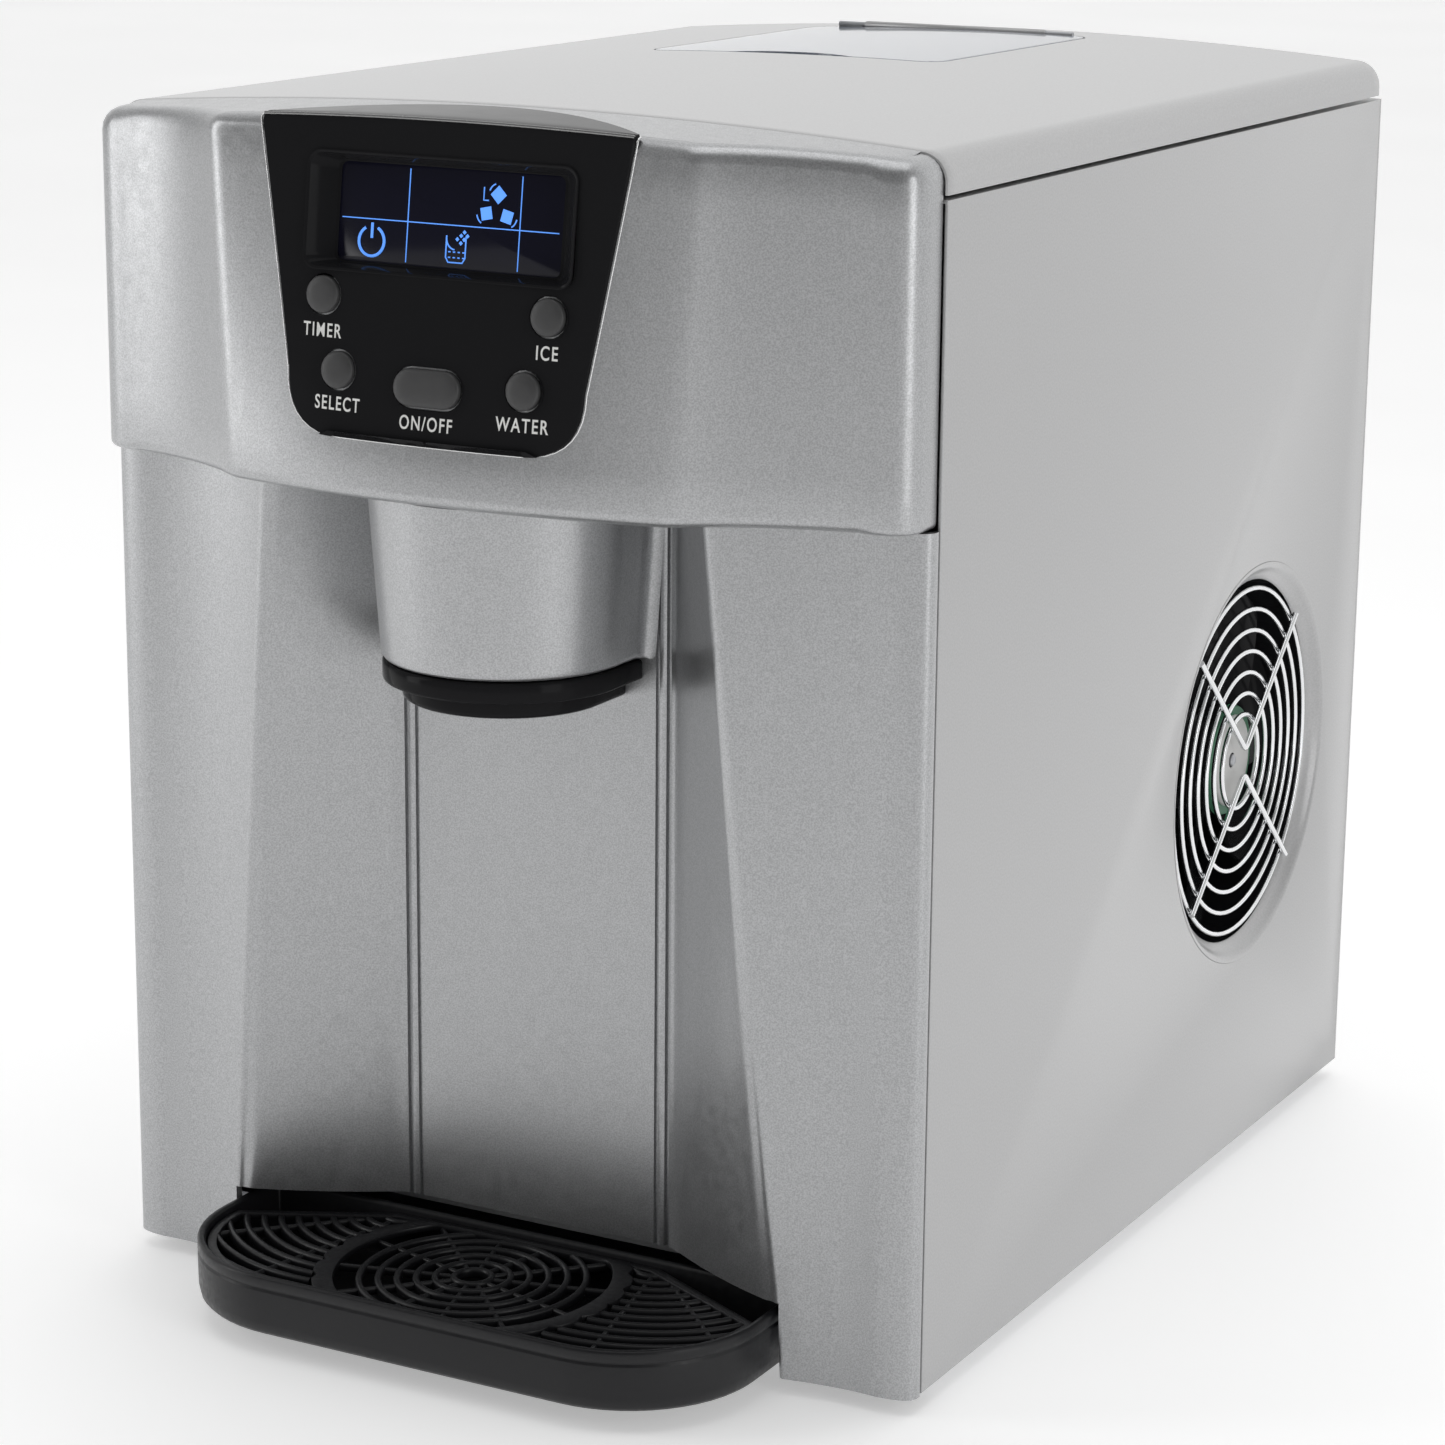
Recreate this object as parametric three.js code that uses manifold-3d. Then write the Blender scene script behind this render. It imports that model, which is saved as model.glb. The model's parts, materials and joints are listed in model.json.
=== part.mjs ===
// Countertop ice maker with a front ice and water dispenser, in millimetres, +Z up.
// The front faces -Y. Everything is laid out from the front plane of the lower
// columns (y = 0) and the surface it stands on (z = 0), and moved to its origin at the end.

import * as THREE from 'three';
import { mergeVertices } from 'three/addons/utils/BufferGeometryUtils.js';
import Module from 'manifold-3d';

const wasm = await Module();
wasm.setup();

// ---- driving dimensions ----

const WIDTH = 320;
const HALF = WIDTH / 2;
const DEPTH = 408;
const FOOT_HEIGHT = 6;
const GAP = 0.3;
const SHEET = 1.2;
const SHELL = 2.6;

const BASE_Z = FOOT_HEIGHT;
const PANEL_TOP_Z = 408;
const COVER_SKIRT_Z = 409.5;
const COVER_EDGE_Z = 423;
const CROWN = 6;
const EDGE_RADIUS = 10;
const SEAM_Y = 8;

const HEAD_BOTTOM_Z = 303;
const HEAD_CORNER_Y = -10;
const HEAD_CREASE_X = 92;
const HEAD_CREASE_Y = -32;
const HEAD_CREASE_SHIFT = 7;
const HEAD_CENTRE_LEAN = 16;
const HEAD_CREASE_LEAN = 5;

const PANEL_TOP_HALF = 71;
const PANEL_LOW_HALF = 57;
const PANEL_LOW_Z = 323;
const PANEL_TAPER_Z = 344;
const PANEL_CORNER = 22;
const PANEL_PROUD = 0.8;
const PANEL_LENS_Y = 0;
const PANEL_LEAN = 7.4 * Math.PI / 180;
const PANEL_MID = { y: -38, z: 372 };

const DISPLAY_HALF = 51;
const DISPLAY_GLASS_HALF = 44;
const DISPLAY_HEIGHT = 38;
const DISPLAY_Z = 396.5;
const DISPLAY_DEPTH = 7;

const BUTTON_RADIUS = 6.5;
const BUTTON_RISE = 2.2;
const BUTTON_STEM = 5;

const ALCOVE_HALF = 52;
const ALCOVE_WALL_Y = 23;
const COLUMN_EDGE_TOP = 85;
const COLUMN_EDGE_LOW = 109;
const COLUMN_FALL_BACK = 9;

const NOZZLE_Y = 5;
const NOZZLE_RADIUS = 47;
const NOZZLE_LOW_RADIUS = 43;
const NOZZLE_Z = 244;
const COLLAR_RADIUS = 42.6;
const COLLAR_HEIGHT = 7.5;
const SPOUT_RADIUS = 36;
const SPOUT_HEIGHT = 6.5;

const TRAY_HALF = 110;
const TRAY_FRONT_Y = -64;
const TRAY_BACK_Y = 20;
const TRAY_CORNER = 50;
const TRAY_Z = 7.6;
const TRAY_RIM_Z = 30;
const TRAY_WALL = 3;
const GRATE_Z = 24.5;
const GRATE_THICK = 3;
const SEAT_Y = -20;
const SEAT_RADIUS = 50;

const LID_X = -18;
const LID_HALF = 62;
const LID_FRONT_Y = 240;
const LID_BACK_Y = 384;
const LID_CORNER = 9;
const HINGE_Y = 387;
const HINGE_Z = 428.6;
const HINGE_RADIUS = 2.4;
const EAR_X = 46;

const FAN_Y = 295;
const FAN_Z = 161;
const FAN_HOLE = 75;
const FAN_HUB = 22;

const BIN = { half: 112, y0: 36, y1: 396, z0: 246, z1: 404, wall: 3 };
const CHUTE = { half: 30, z0: 252, z1: 294 };
const TANK = { x0: -120, x1: 84, y0: 40, y1: 186, z0: 24, z1: 128, wall: 3 };

// ---- solids ----

const object = new THREE.Group();

function toManifold(geometry) {
  const bare = geometry.clone();
  bare.deleteAttribute('normal');
  bare.deleteAttribute('uv');
  const merged = geometry.userData.closed ? bare : mergeVertices(bare, 1e-4);
  const vertProperties = new Float32Array(merged.attributes.position.array);
  const triVerts = new Uint32Array(merged.index.array);
  return new wasm.Manifold(new wasm.Mesh({ numProp: 3, vertProperties, triVerts }));
}

function toGeometry(solid) {
  const mesh = solid.getMesh();
  const geometry = new THREE.BufferGeometry();
  geometry.setAttribute('position', new THREE.BufferAttribute(mesh.vertProperties.slice(), 3));
  geometry.setIndex(new THREE.BufferAttribute(mesh.triVerts.slice(), 1));
  geometry.computeVertexNormals();
  geometry.userData.closed = true;
  return geometry;
}

function cut(base, ...tools) {
  return toGeometry(tools.reduce((solid, tool) => solid.subtract(toManifold(tool)), toManifold(base)));
}

function join(base, ...others) {
  return toGeometry(others.reduce((solid, other) => solid.add(toManifold(other)), toManifold(base)));
}

function common(base, ...others) {
  return toGeometry(others.reduce((solid, other) => solid.intersect(toManifold(other)), toManifold(base)));
}

function add(name, geometry, look) {
  const mesh = new THREE.Mesh(geometry, new THREE.MeshStandardMaterial(look));
  mesh.name = name;
  object.add(mesh);
}

function box(x0, x1, y0, y1, z0, z1) {
  const geometry = new THREE.BoxGeometry(x1 - x0, y1 - y0, z1 - z0);
  return geometry.translate((x0 + x1) / 2, (y0 + y1) / 2, (z0 + z1) / 2);
}

// A cylinder whose axis runs along x, y or z, starting at the given point.
function rod(axis, radius, length, x, y, z, sides = 24, endRadius = radius) {
  const geometry = new THREE.CylinderGeometry(endRadius, radius, length, sides);
  geometry.translate(0, length / 2, 0);
  if (axis === 'x') geometry.rotateZ(-Math.PI / 2);
  if (axis === 'z') geometry.rotateX(Math.PI / 2);
  return geometry.translate(x, y, z);
}

function ring(axis, outer, inner, length, x, y, z, sides = 32) {
  const before = [x, y, z];
  before['xyz'.indexOf(axis)] -= 1;
  return cut(rod(axis, outer, length, x, y, z, sides), rod(axis, inner, length + 2, ...before, sides));
}

function plate(shape, z0, z1, curveSegments = 6, steps = 1) {
  const options = { depth: z1 - z0, bevelEnabled: false, curveSegments, steps };
  return new THREE.ExtrudeGeometry(shape, options).translate(0, 0, z0);
}

// A shape drawn as (x, z), extruded from y0 back to y1.
function slabAlongY(shape, y0, y1, curveSegments = 6) {
  const geometry = new THREE.ExtrudeGeometry(shape, { depth: y1 - y0, bevelEnabled: false, curveSegments });
  return geometry.rotateX(Math.PI / 2).translate(0, y1, 0);
}

function warp(geometry, move) {
  const position = geometry.attributes.position;
  const point = new THREE.Vector3();
  for (let i = 0; i < position.count; i += 1) {
    point.fromBufferAttribute(position, i);
    move(point);
    position.setXYZ(i, point.x, point.y, point.z);
  }
  return geometry;
}

function roundedRect(x0, x1, y0, y1, radius) {
  const shape = new THREE.Shape();
  shape.absarc(x1 - radius, y0 + radius, radius, -Math.PI / 2, 0);
  shape.absarc(x1 - radius, y1 - radius, radius, 0, Math.PI / 2);
  shape.absarc(x0 + radius, y1 - radius, radius, Math.PI / 2, Math.PI);
  shape.absarc(x0 + radius, y0 + radius, radius, Math.PI, Math.PI * 1.5);
  return shape;
}

// A tube of the given radius through the listed points.
function tube(points, radius, steps = 24, sides = 8) {
  const path = new THREE.CatmullRomCurve3(points.map((p) => new THREE.Vector3(...p)), false, 'centripetal');
  const section = new THREE.Shape().absarc(0, 0, radius, 0, 2 * Math.PI);
  const options = { steps, extrudePath: path, curveSegments: sides, bevelEnabled: false };
  return new THREE.ExtrudeGeometry(section, options);
}

// ---- looks ----

const SILVER = { color: 0xb4b6b9, roughness: 0.34, metalness: 0.75 };
const GREY_PAINT = { color: 0xc6c6c8, roughness: 0.38, metalness: 0.35 };
const GLOSS_BLACK = { color: 0x141416, roughness: 0.12, metalness: 0 };
const SATIN_BLACK = { color: 0x1c1c20, roughness: 0.4, metalness: 0 };
const BUTTON_GREY = { color: 0x4a4b4d, roughness: 0.6, metalness: 0 };
const RUBBER = { color: 0x161616, roughness: 0.9, metalness: 0 };
const CHROME = { color: 0xe2e2e4, roughness: 0.14, metalness: 1 };
const STEEL = { color: 0xa2a4a8, roughness: 0.4, metalness: 0.9 };
const COPPER = { color: 0xb87346, roughness: 0.35, metalness: 0.9 };
const ALUMINIUM = { color: 0xc9cbce, roughness: 0.45, metalness: 0.9 };
const WHITE_PLASTIC = { color: 0xe6e7e9, roughness: 0.5, metalness: 0 };
const CLEAR_PLASTIC = { color: 0xaab4c6, roughness: 0.15, metalness: 0, transparent: true, opacity: 0.6 };
const DARK_GLASS = { color: 0x0a0c18, roughness: 0.06, metalness: 0 };
const GREEN_BOARD = { color: 0x1f5a38, roughness: 0.6, metalness: 0 };

// ---- casing: base, feet and sheet panels ----

const FRONT_Y = SEAM_Y + GAP;

function basePan() {
  const outer = box(-157, 157, 22, 396, BASE_Z, 20);
  const inner = box(-155, 155, 24, 394, BASE_Z + 2, 21);
  const runners = [-70, 70].map((x) => box(x - 10, x + 10, -20, 30, BASE_Z, TRAY_Z - GAP));
  return join(cut(outer, inner), ...runners);
}

function foot(x, y) {
  const profile = [[0, 0], [9, 0], [11, 2], [11, FOOT_HEIGHT - GAP], [0, FOOT_HEIGHT - GAP]];
  const geometry = new THREE.LatheGeometry(profile.map((p) => new THREE.Vector2(...p)), 20);
  return geometry.rotateX(Math.PI / 2).translate(x, y, 0);
}

// A side sheet with its bottom and top flanges turned inward; side is -1 (left) or 1 (right).
function sidePanel(side) {
  const shape = new THREE.Shape();
  const outer = HALF;
  const inner = HALF - SHEET;
  const flange = HALF - 12;
  const bottom = BASE_Z + 0.5;
  const corners = [
    [outer, bottom], [outer, PANEL_TOP_Z], [flange, PANEL_TOP_Z], [flange, PANEL_TOP_Z - SHEET],
    [inner, PANEL_TOP_Z - SHEET], [inner, bottom]
  ];
  const ordered = side > 0 ? corners : corners.map(([x, z]) => [-x, z]).reverse();
  shape.setFromPoints(ordered.map((p) => new THREE.Vector2(...p)));
  return slabAlongY(shape, FRONT_Y, DEPTH - 1.6);
}

// The fan opening: a dished lip that turns the sheet inward around the hole.
function rightPanel() {
  const dish = rod('x', FAN_HOLE - 3.4, 5, HALF - 5, FAN_Y, FAN_Z, 48, FAN_HOLE + 1.2);
  const hole = rod('x', FAN_HOLE - 4.6, 6.2, HALF - 6, FAN_Y, FAN_Z, 48, FAN_HOLE);
  return cut(join(sidePanel(1), dish), hole);
}

function leftPanel() {
  const slots = [];
  for (let column = 0; column < 3; column += 1) {
    for (let row = 0; row < 8; row += 1) {
      const y = 215 + column * 48;
      const z = 90 + row * 14;
      slots.push(box(-HALF - 1, -HALF + 3, y, y + 38, z, z + 5));
    }
  }
  return cut(sidePanel(-1), ...slots);
}

function rearPanel() {
  const sheet = box(-HALF + 0.2, HALF - 0.2, DEPTH - SHEET, DEPTH, BASE_Z + 0.5, PANEL_TOP_Z);
  const slots = [];
  for (let column = 0; column < 2; column += 1) {
    for (let row = 0; row < 9; row += 1) {
      const x = -20 + column * 74;
      const z = 70 + row * 14;
      slots.push(box(x, x + 62, DEPTH - 3, DEPTH + 1, z, z + 5));
    }
  }
  const glandHole = rod('y', 8, 6, 120, DEPTH - 4, 36, 20);
  const drainHole = rod('y', 11, 6, -110, DEPTH - 4, 30, 20);
  return cut(sheet, ...slots, glandHole, drainHole);
}

// ---- top cover and lid ----

// The crowned cross-section, drawn as (x, z), inset by a wall thickness.
function coverSection(inset, low) {
  const shape = new THREE.Shape();
  const side = HALF - inset;
  const radius = EDGE_RADIUS - inset * 0.5;
  const shoulder = side - radius;
  const top = COVER_EDGE_Z - inset;
  const middle = top + 2 * CROWN;
  shape.moveTo(-side, low);
  shape.lineTo(side, low);
  shape.lineTo(side, top - radius);
  shape.quadraticCurveTo(side, top, shoulder, top);
  shape.quadraticCurveTo(0, middle, -shoulder, top);
  shape.quadraticCurveTo(-side, top, -side, top - radius);
  shape.closePath();
  return shape;
}

const lidOutline = (grow) => roundedRect(
  LID_X - LID_HALF - grow, LID_X + LID_HALF + grow, LID_FRONT_Y - grow, LID_BACK_Y + grow, LID_CORNER);

function topCover() {
  const outer = slabAlongY(coverSection(0, COVER_SKIRT_Z), FRONT_Y, DEPTH, 10);
  const inner = slabAlongY(coverSection(SHELL, COVER_SKIRT_Z - 2), FRONT_Y - 1, DEPTH - SHELL, 10);
  const opening = plate(lidOutline(0.8), 400, 440);
  const hingeBay = box(LID_X - 42, LID_X + 42, LID_BACK_Y - 2, HINGE_Y + HINGE_RADIUS + 0.6, 400, 440);
  const ears = [-1, 1].map((side) => {
    const x = LID_X + side * EAR_X;
    return box(x - 3.4, x + 3.4, HINGE_Y - 2.6, HINGE_Y + 3.2, 424, HINGE_Z + 1.8);
  });
  const pinHole = rod('x', 1.3, 110, LID_X - 55, HINGE_Y, HINGE_Z, 12);
  return cut(join(cut(outer, inner, opening, hingeBay), ...ears), pinHole);
}

// The see-through lid follows the crown and turns on a barrel along its rear edge.
function lid() {
  const crowned = slabAlongY(coverSection(0, COVER_SKIRT_Z), LID_FRONT_Y - 5, LID_BACK_Y + 5, 10);
  const below = slabAlongY(coverSection(SHELL, COVER_SKIRT_Z - 2), LID_FRONT_Y - 6, LID_BACK_Y + 6, 10);
  const sheet = common(cut(crowned, below), plate(lidOutline(0), 400, 440));
  const grip = rod('z', 30, 10, LID_X, LID_FRONT_Y - 22.5, COVER_EDGE_Z + 3.2, 32);
  const barrel = rod('x', HINGE_RADIUS, 82, LID_X - 41, HINGE_Y, HINGE_Z, 16);
  const web = box(LID_X - 41, LID_X + 41, LID_BACK_Y - 3, HINGE_Y, HINGE_Z - 2.2, HINGE_Z - 0.4);
  const bore = rod('x', 1.3, 90, LID_X - 45, HINGE_Y, HINGE_Z, 12);
  const earNotches = [-1, 1].map((side) => {
    const x = LID_X + side * EAR_X;
    return box(x - 4.2, x + 4.2, LID_BACK_Y - 3.2, LID_BACK_Y + 3, 400, 440);
  });
  return cut(join(cut(sheet, grip, ...earNotches), web, barrel), bore);
}

function lidSealFrame() {
  const z1 = COVER_EDGE_Z - 0.4;
  const outer = plate(lidOutline(3.2), z1 - 5, z1);
  const inner = plate(lidOutline(-4), z1 - 6, z1 + 1);
  return cut(outer, inner);
}

// ---- front mouldings ----

// Forward face of the head in plan, drawn from the right side to the left.
function headOutline(inset) {
  const side = HALF - 1.5 - inset;
  const corner = 12;
  const cornerY = HEAD_CORNER_Y + inset;
  const creaseX = HEAD_CREASE_X - inset * 0.3;
  const creaseY = HEAD_CREASE_Y + inset;
  const shape = new THREE.Shape();
  const rearY = inset > 0 ? SEAM_Y + 2 : SEAM_Y;
  shape.moveTo(-side, rearY);
  shape.lineTo(-side, cornerY + corner);
  shape.quadraticCurveTo(-side, cornerY, -side + corner, cornerY - 1);
  shape.quadraticCurveTo(-creaseX - 18, cornerY - 7, -creaseX, creaseY);
  shape.quadraticCurveTo(0, creaseY, creaseX, creaseY);
  shape.quadraticCurveTo(creaseX + 18, cornerY - 7, side - corner, cornerY - 1);
  shape.quadraticCurveTo(side, cornerY, side, cornerY + corner);
  shape.lineTo(side, rearY);
  shape.closePath();
  return shape;
}

// The head leans forward as it comes down, most of all in the middle.
function leanHead(point) {
  const share = Math.min(1, Math.abs(point.x) / HEAD_CREASE_X);
  const down = 1 - (point.z - HEAD_BOTTOM_Z) / (COVER_EDGE_Z - HEAD_BOTTOM_Z);
  const middle = HEAD_CREASE_LEAN + (HEAD_CENTRE_LEAN - HEAD_CREASE_LEAN) * (1 - share ** 2);
  const wing = Math.max(0, (Math.abs(point.x) - HEAD_CREASE_X) / (HALF - HEAD_CREASE_X));
  const forward = Math.max(0, (SEAM_Y - point.y) / (SEAM_Y - HEAD_CREASE_Y));
  point.y -= middle * (1 - wing) * down * Math.min(1, forward);
  point.x -= Math.sign(point.x) * HEAD_CREASE_SHIFT * down * share * (1 - wing) * Math.min(1, forward);
}

// Front-to-back top of the head: level at the seam, easing down over a rounded front edge.
function headTopCutter(inset) {
  const roof = slabAlongY(coverSection(inset, HEAD_BOTTOM_Z - 20), -80, SEAM_Y + 4, 8);
  return warp(roof, (point) => {
    if (point.z > COVER_EDGE_Z - EDGE_RADIUS - 4 && point.y < 0) point.z -= 4;
  });
}

function headSolid(inset) {
  const block = plate(headOutline(inset), HEAD_BOTTOM_Z + Math.max(0, inset), COVER_EDGE_Z + 14, 6, 5);
  return common(warp(block, leanHead), headTopCutter(inset));
}

// Outline of the black panel seen from the front, grown for the opening it sits in.
function panelFront(grow) {
  const shape = new THREE.Shape();
  const low = PANEL_LOW_Z - grow;
  const flat = PANEL_LOW_HALF - PANEL_CORNER;
  shape.moveTo(-PANEL_TOP_HALF - grow, COVER_EDGE_Z + 20);
  shape.lineTo(-PANEL_TOP_HALF - grow, COVER_EDGE_Z);
  shape.lineTo(-PANEL_LOW_HALF - grow, PANEL_TAPER_Z);
  shape.quadraticCurveTo(-PANEL_LOW_HALF - grow, low, -flat, low);
  shape.lineTo(flat, low);
  shape.quadraticCurveTo(PANEL_LOW_HALF + grow, low, PANEL_LOW_HALF + grow, PANEL_TAPER_Z);
  shape.lineTo(PANEL_TOP_HALF + grow, COVER_EDGE_Z);
  shape.lineTo(PANEL_TOP_HALF + grow, COVER_EDGE_Z + 20);
  shape.closePath();
  return slabAlongY(shape, -90, 20, 5);
}

// Plan of the black panel: its rear boundary on the roof is a shallow arc.
function panelPlan(grow) {
  const side = PANEL_TOP_HALF + 6;
  const arcControl = 2 * PANEL_LENS_Y - HEAD_CREASE_Y - 4;
  const shape = new THREE.Shape();
  shape.moveTo(-side, -90);
  shape.lineTo(side, -90);
  shape.lineTo(side, HEAD_CREASE_Y + 4 + grow);
  shape.quadraticCurveTo(0, arcControl + grow, -side, HEAD_CREASE_Y + 4 + grow);
  shape.closePath();
  return plate(shape, HEAD_BOTTOM_Z - 5, COVER_EDGE_Z + 25, 8);
}

const panelRegion = (grow) => common(panelFront(grow), panelPlan(grow));

function frontUpperBezel() {
  const reach = CHUTE.half + 8;
  const iceOpening = box(-reach, reach, NOZZLE_Y - 20, 20, HEAD_BOTTOM_Z - 2, HEAD_BOTTOM_Z + 4);
  return cut(headSolid(0), headSolid(SHELL), panelRegion(0.35), iceOpening);
}

// Sets a piece, drawn with its outer face at y = 0, onto the leaning panel.
const ontoPanel = (geometry) => geometry.rotateX(-PANEL_LEAN).translate(0, PANEL_MID.y, PANEL_MID.z);

// How far the panel's outer face lies behind its middle line at a sideways distance x.
const panelSink = (x, z) => {
  const down = 1 - (z - HEAD_BOTTOM_Z) / (COVER_EDGE_Z - HEAD_BOTTOM_Z);
  return (HEAD_CENTRE_LEAN - HEAD_CREASE_LEAN) * (x / HEAD_CREASE_X) ** 2 * down;
};

function taperedPocket(half, height, endHalf, endHeight, y0, y1, radius) {
  const block = slabAlongY(roundedRect(-half, half, -height / 2, height / 2, radius), y0, y1, 3);
  return warp(block, (point) => {
    if (point.y < (y0 + y1) / 2) return;
    point.x *= endHalf / half;
    point.z *= endHeight / height;
  });
}

const displayLocalZ = DISPLAY_Z - PANEL_MID.z;
const pocketOpening = () => ontoPanel(taperedPocket(
  DISPLAY_HALF + 0.6, DISPLAY_HEIGHT + 0.4, DISPLAY_GLASS_HALF, 33, -1.6, DISPLAY_DEPTH, 5
).translate(0, 0, displayLocalZ));

const BUTTONS = [
  { name: 'timer_button', x: -43, z: 369, stretch: 0 },
  { name: 'select_button', x: -35.5, z: 345, stretch: 0 },
  { name: 'power_button', x: 0, z: 342, stretch: 6.4 },
  { name: 'ice_button', x: 43, z: 368, stretch: 0 },
  { name: 'water_button', x: 35.5, z: 344, stretch: 0 }
];

// A round or stadium button, its travel along the panel's normal.
function buttonSolid({ x, z, stretch }, radius, y0, y1) {
  const outline = roundedRect(x - radius - stretch, x + radius + stretch, -radius, radius, radius - 0.01);
  const local = slabAlongY(outline, y0, y1, 4);
  return ontoPanel(local.translate(0, panelSink(x, z), z - PANEL_MID.z));
}

function controlPanel() {
  const skin = cut(headSolid(-PANEL_PROUD), headSolid(3.2));
  const patch = common(skin, panelRegion(0));
  const rim = ontoPanel(slabAlongY(
    roundedRect(-DISPLAY_HALF + 1, DISPLAY_HALF - 1, -19, 19, 4), 1.5, DISPLAY_DEPTH + 1.4, 3
  ).translate(0, 0, displayLocalZ));
  const glassHole = ontoPanel(slabAlongY(
    roundedRect(-DISPLAY_GLASS_HALF + 1.5, DISPLAY_GLASS_HALF - 1.5, -15, 15, 1.5), 0, DISPLAY_DEPTH + 4, 3
  ).translate(0, 0, displayLocalZ));
  const holes = BUTTONS.map((button) => buttonSolid(button, BUTTON_RADIUS + 0.4, -8, 12));
  return cut(join(patch, rim), pocketOpening(), glassHole, ...holes);
}

function displayWindow() {
  const half = DISPLAY_GLASS_HALF - 3;
  const glass = box(-half, half, DISPLAY_DEPTH + 1.8, DISPLAY_DEPTH + 4, -17, 17);
  return ontoPanel(glass.translate(0, 0, displayLocalZ));
}

function displayBoard() {
  const board = box(-54, 54, 13.5, 15.1, -37, 43);
  const driver = box(-20, 20, 15, 17.5, 10, 24);
  return ontoPanel(join(board, driver));
}

// Plan of the lower front skin at its top edge: corner, face, column edge, splayed wall, rear wall.
function lowerSkinPath() {
  const path = new THREE.Path();
  path.moveTo(HALF, SEAM_Y);
  path.quadraticCurveTo(HALF, 0, HALF - 13, -0.5);
  path.quadraticCurveTo(HALF - 40, 1, COLUMN_EDGE_TOP + 5, -11);
  path.quadraticCurveTo(COLUMN_EDGE_TOP, -13, COLUMN_EDGE_TOP - 3, -9);
  path.lineTo(ALCOVE_HALF + 5, ALCOVE_WALL_Y - 2);
  path.lineTo(ALCOVE_HALF + 1, ALCOVE_WALL_Y);
  path.lineTo(ALCOVE_HALF, ALCOVE_WALL_Y + 1.5);
  path.lineTo(ALCOVE_HALF - 2, ALCOVE_WALL_Y);
  const right = path.getPoints(5);
  const left = right.map((p) => new THREE.Vector2(-p.x, p.y)).reverse();
  return [...right, ...left];
}

// Gives an open line of points a wall thickness on its left-hand side.
function thicken(points, thickness) {
  const offset = points.map((point, i) => {
    const before = points[Math.max(0, i - 1)];
    const after = points[Math.min(points.length - 1, i + 1)];
    const along = after.clone().sub(before).normalize();
    return new THREE.Vector2(point.x + along.y * thickness, point.y - along.x * thickness);
  });
  return new THREE.Shape([...points, ...offset.reverse()]);
}

// The bay widens downward: the column edges move outward and back.
function splayColumns(point) {
  const top = HEAD_BOTTOM_Z - GAP;
  const down = (top - point.z) / (top - 32);
  const edge = COLUMN_EDGE_TOP + (COLUMN_EDGE_LOW - COLUMN_EDGE_TOP) * down;
  const side = Math.abs(point.x);
  const inner = ALCOVE_HALF + 4;
  const outer = HALF - 13;
  if (side <= inner || side >= outer) return;
  const within = side < COLUMN_EDGE_TOP;
  const toEdge = within ? side - inner : outer - side;
  const share = toEdge / (within ? COLUMN_EDGE_TOP - inner : outer - COLUMN_EDGE_TOP);
  point.x = Math.sign(point.x) * (within ? inner + share * (edge - inner) : outer - share * (outer - edge));
  point.y += COLUMN_FALL_BACK * down * share ** 2;
}

function frontLowerPanel() {
  const skin = warp(plate(thicken(lowerSkinPath(), SHELL), BASE_Z, HEAD_BOTTOM_Z - GAP, 6, 5), splayColumns);
  const ceiling = box(-78, 78, 8, 24, HEAD_BOTTOM_Z - 3, HEAD_BOTTOM_Z - GAP);
  const trayMouth = box(-TRAY_HALF - 1.6, TRAY_HALF + 1.6, -40, 60, BASE_Z - 1, TRAY_RIM_Z + 3.4);
  const chuteHole = box(-CHUTE.half, CHUTE.half, 10, 40, CHUTE.z0, CHUTE.z1);
  return cut(join(skin, ceiling), trayMouth, chuteHole);
}

function nozzleOutline(radius, rear) {
  const shape = new THREE.Shape();
  shape.moveTo(-radius, rear);
  shape.lineTo(-radius, NOZZLE_Y);
  shape.absarc(0, NOZZLE_Y, radius, Math.PI, 2 * Math.PI);
  shape.lineTo(radius, rear);
  shape.closePath();
  return shape;
}

function nozzleHousing() {
  const top = HEAD_BOTTOM_Z - 3 - GAP;
  const taper = (geometry) => warp(geometry, (point) => {
    const share = (point.z - NOZZLE_Z) / (top - NOZZLE_Z);
    const scale = 1 + share * (NOZZLE_RADIUS / NOZZLE_LOW_RADIUS - 1);
    point.x *= scale;
    if (point.y < NOZZLE_Y) point.y = NOZZLE_Y + (point.y - NOZZLE_Y) * scale;
  });
  const outer = taper(plate(nozzleOutline(NOZZLE_LOW_RADIUS, ALCOVE_WALL_Y - GAP), NOZZLE_Z, top, 12));
  const core = nozzleOutline(NOZZLE_LOW_RADIUS - 3, ALCOVE_WALL_Y + 3);
  const inner = taper(plate(core, NOZZLE_Z + 3, top + 2, 12));
  const outlet = rod('z', 31, 8, 0, NOZZLE_Y, NOZZLE_Z - 2, 28);
  const behindOutlet = box(-31, 31, NOZZLE_Y, ALCOVE_WALL_Y - 3, NOZZLE_Z + 2.9, NOZZLE_Z + 4);
  return cut(outer, inner, outlet, behindOutlet);
}

// A ring under the nozzle, flat where it meets the rear wall of the bay.
function nozzleRing(radius, inner, z0, height) {
  const block = plate(nozzleOutline(radius, ALCOVE_WALL_Y - GAP), z0, z0 + height, 12);
  return cut(block, rod('z', inner, height + 2, 0, NOZZLE_Y, z0 - 1, 28));
}

// ---- drip tray ----

function trayOutline(inset) {
  const side = TRAY_HALF - inset;
  const front = TRAY_FRONT_Y + inset;
  const rear = TRAY_BACK_Y - inset;
  const radius = TRAY_CORNER - inset;
  const shape = new THREE.Shape();
  shape.moveTo(side, rear);
  shape.lineTo(-side, rear);
  shape.absarc(-side + radius, front + radius, radius, Math.PI, 1.5 * Math.PI);
  shape.absarc(side - radius, front + radius, radius, 1.5 * Math.PI, 2 * Math.PI);
  shape.closePath();
  return shape;
}

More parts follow.
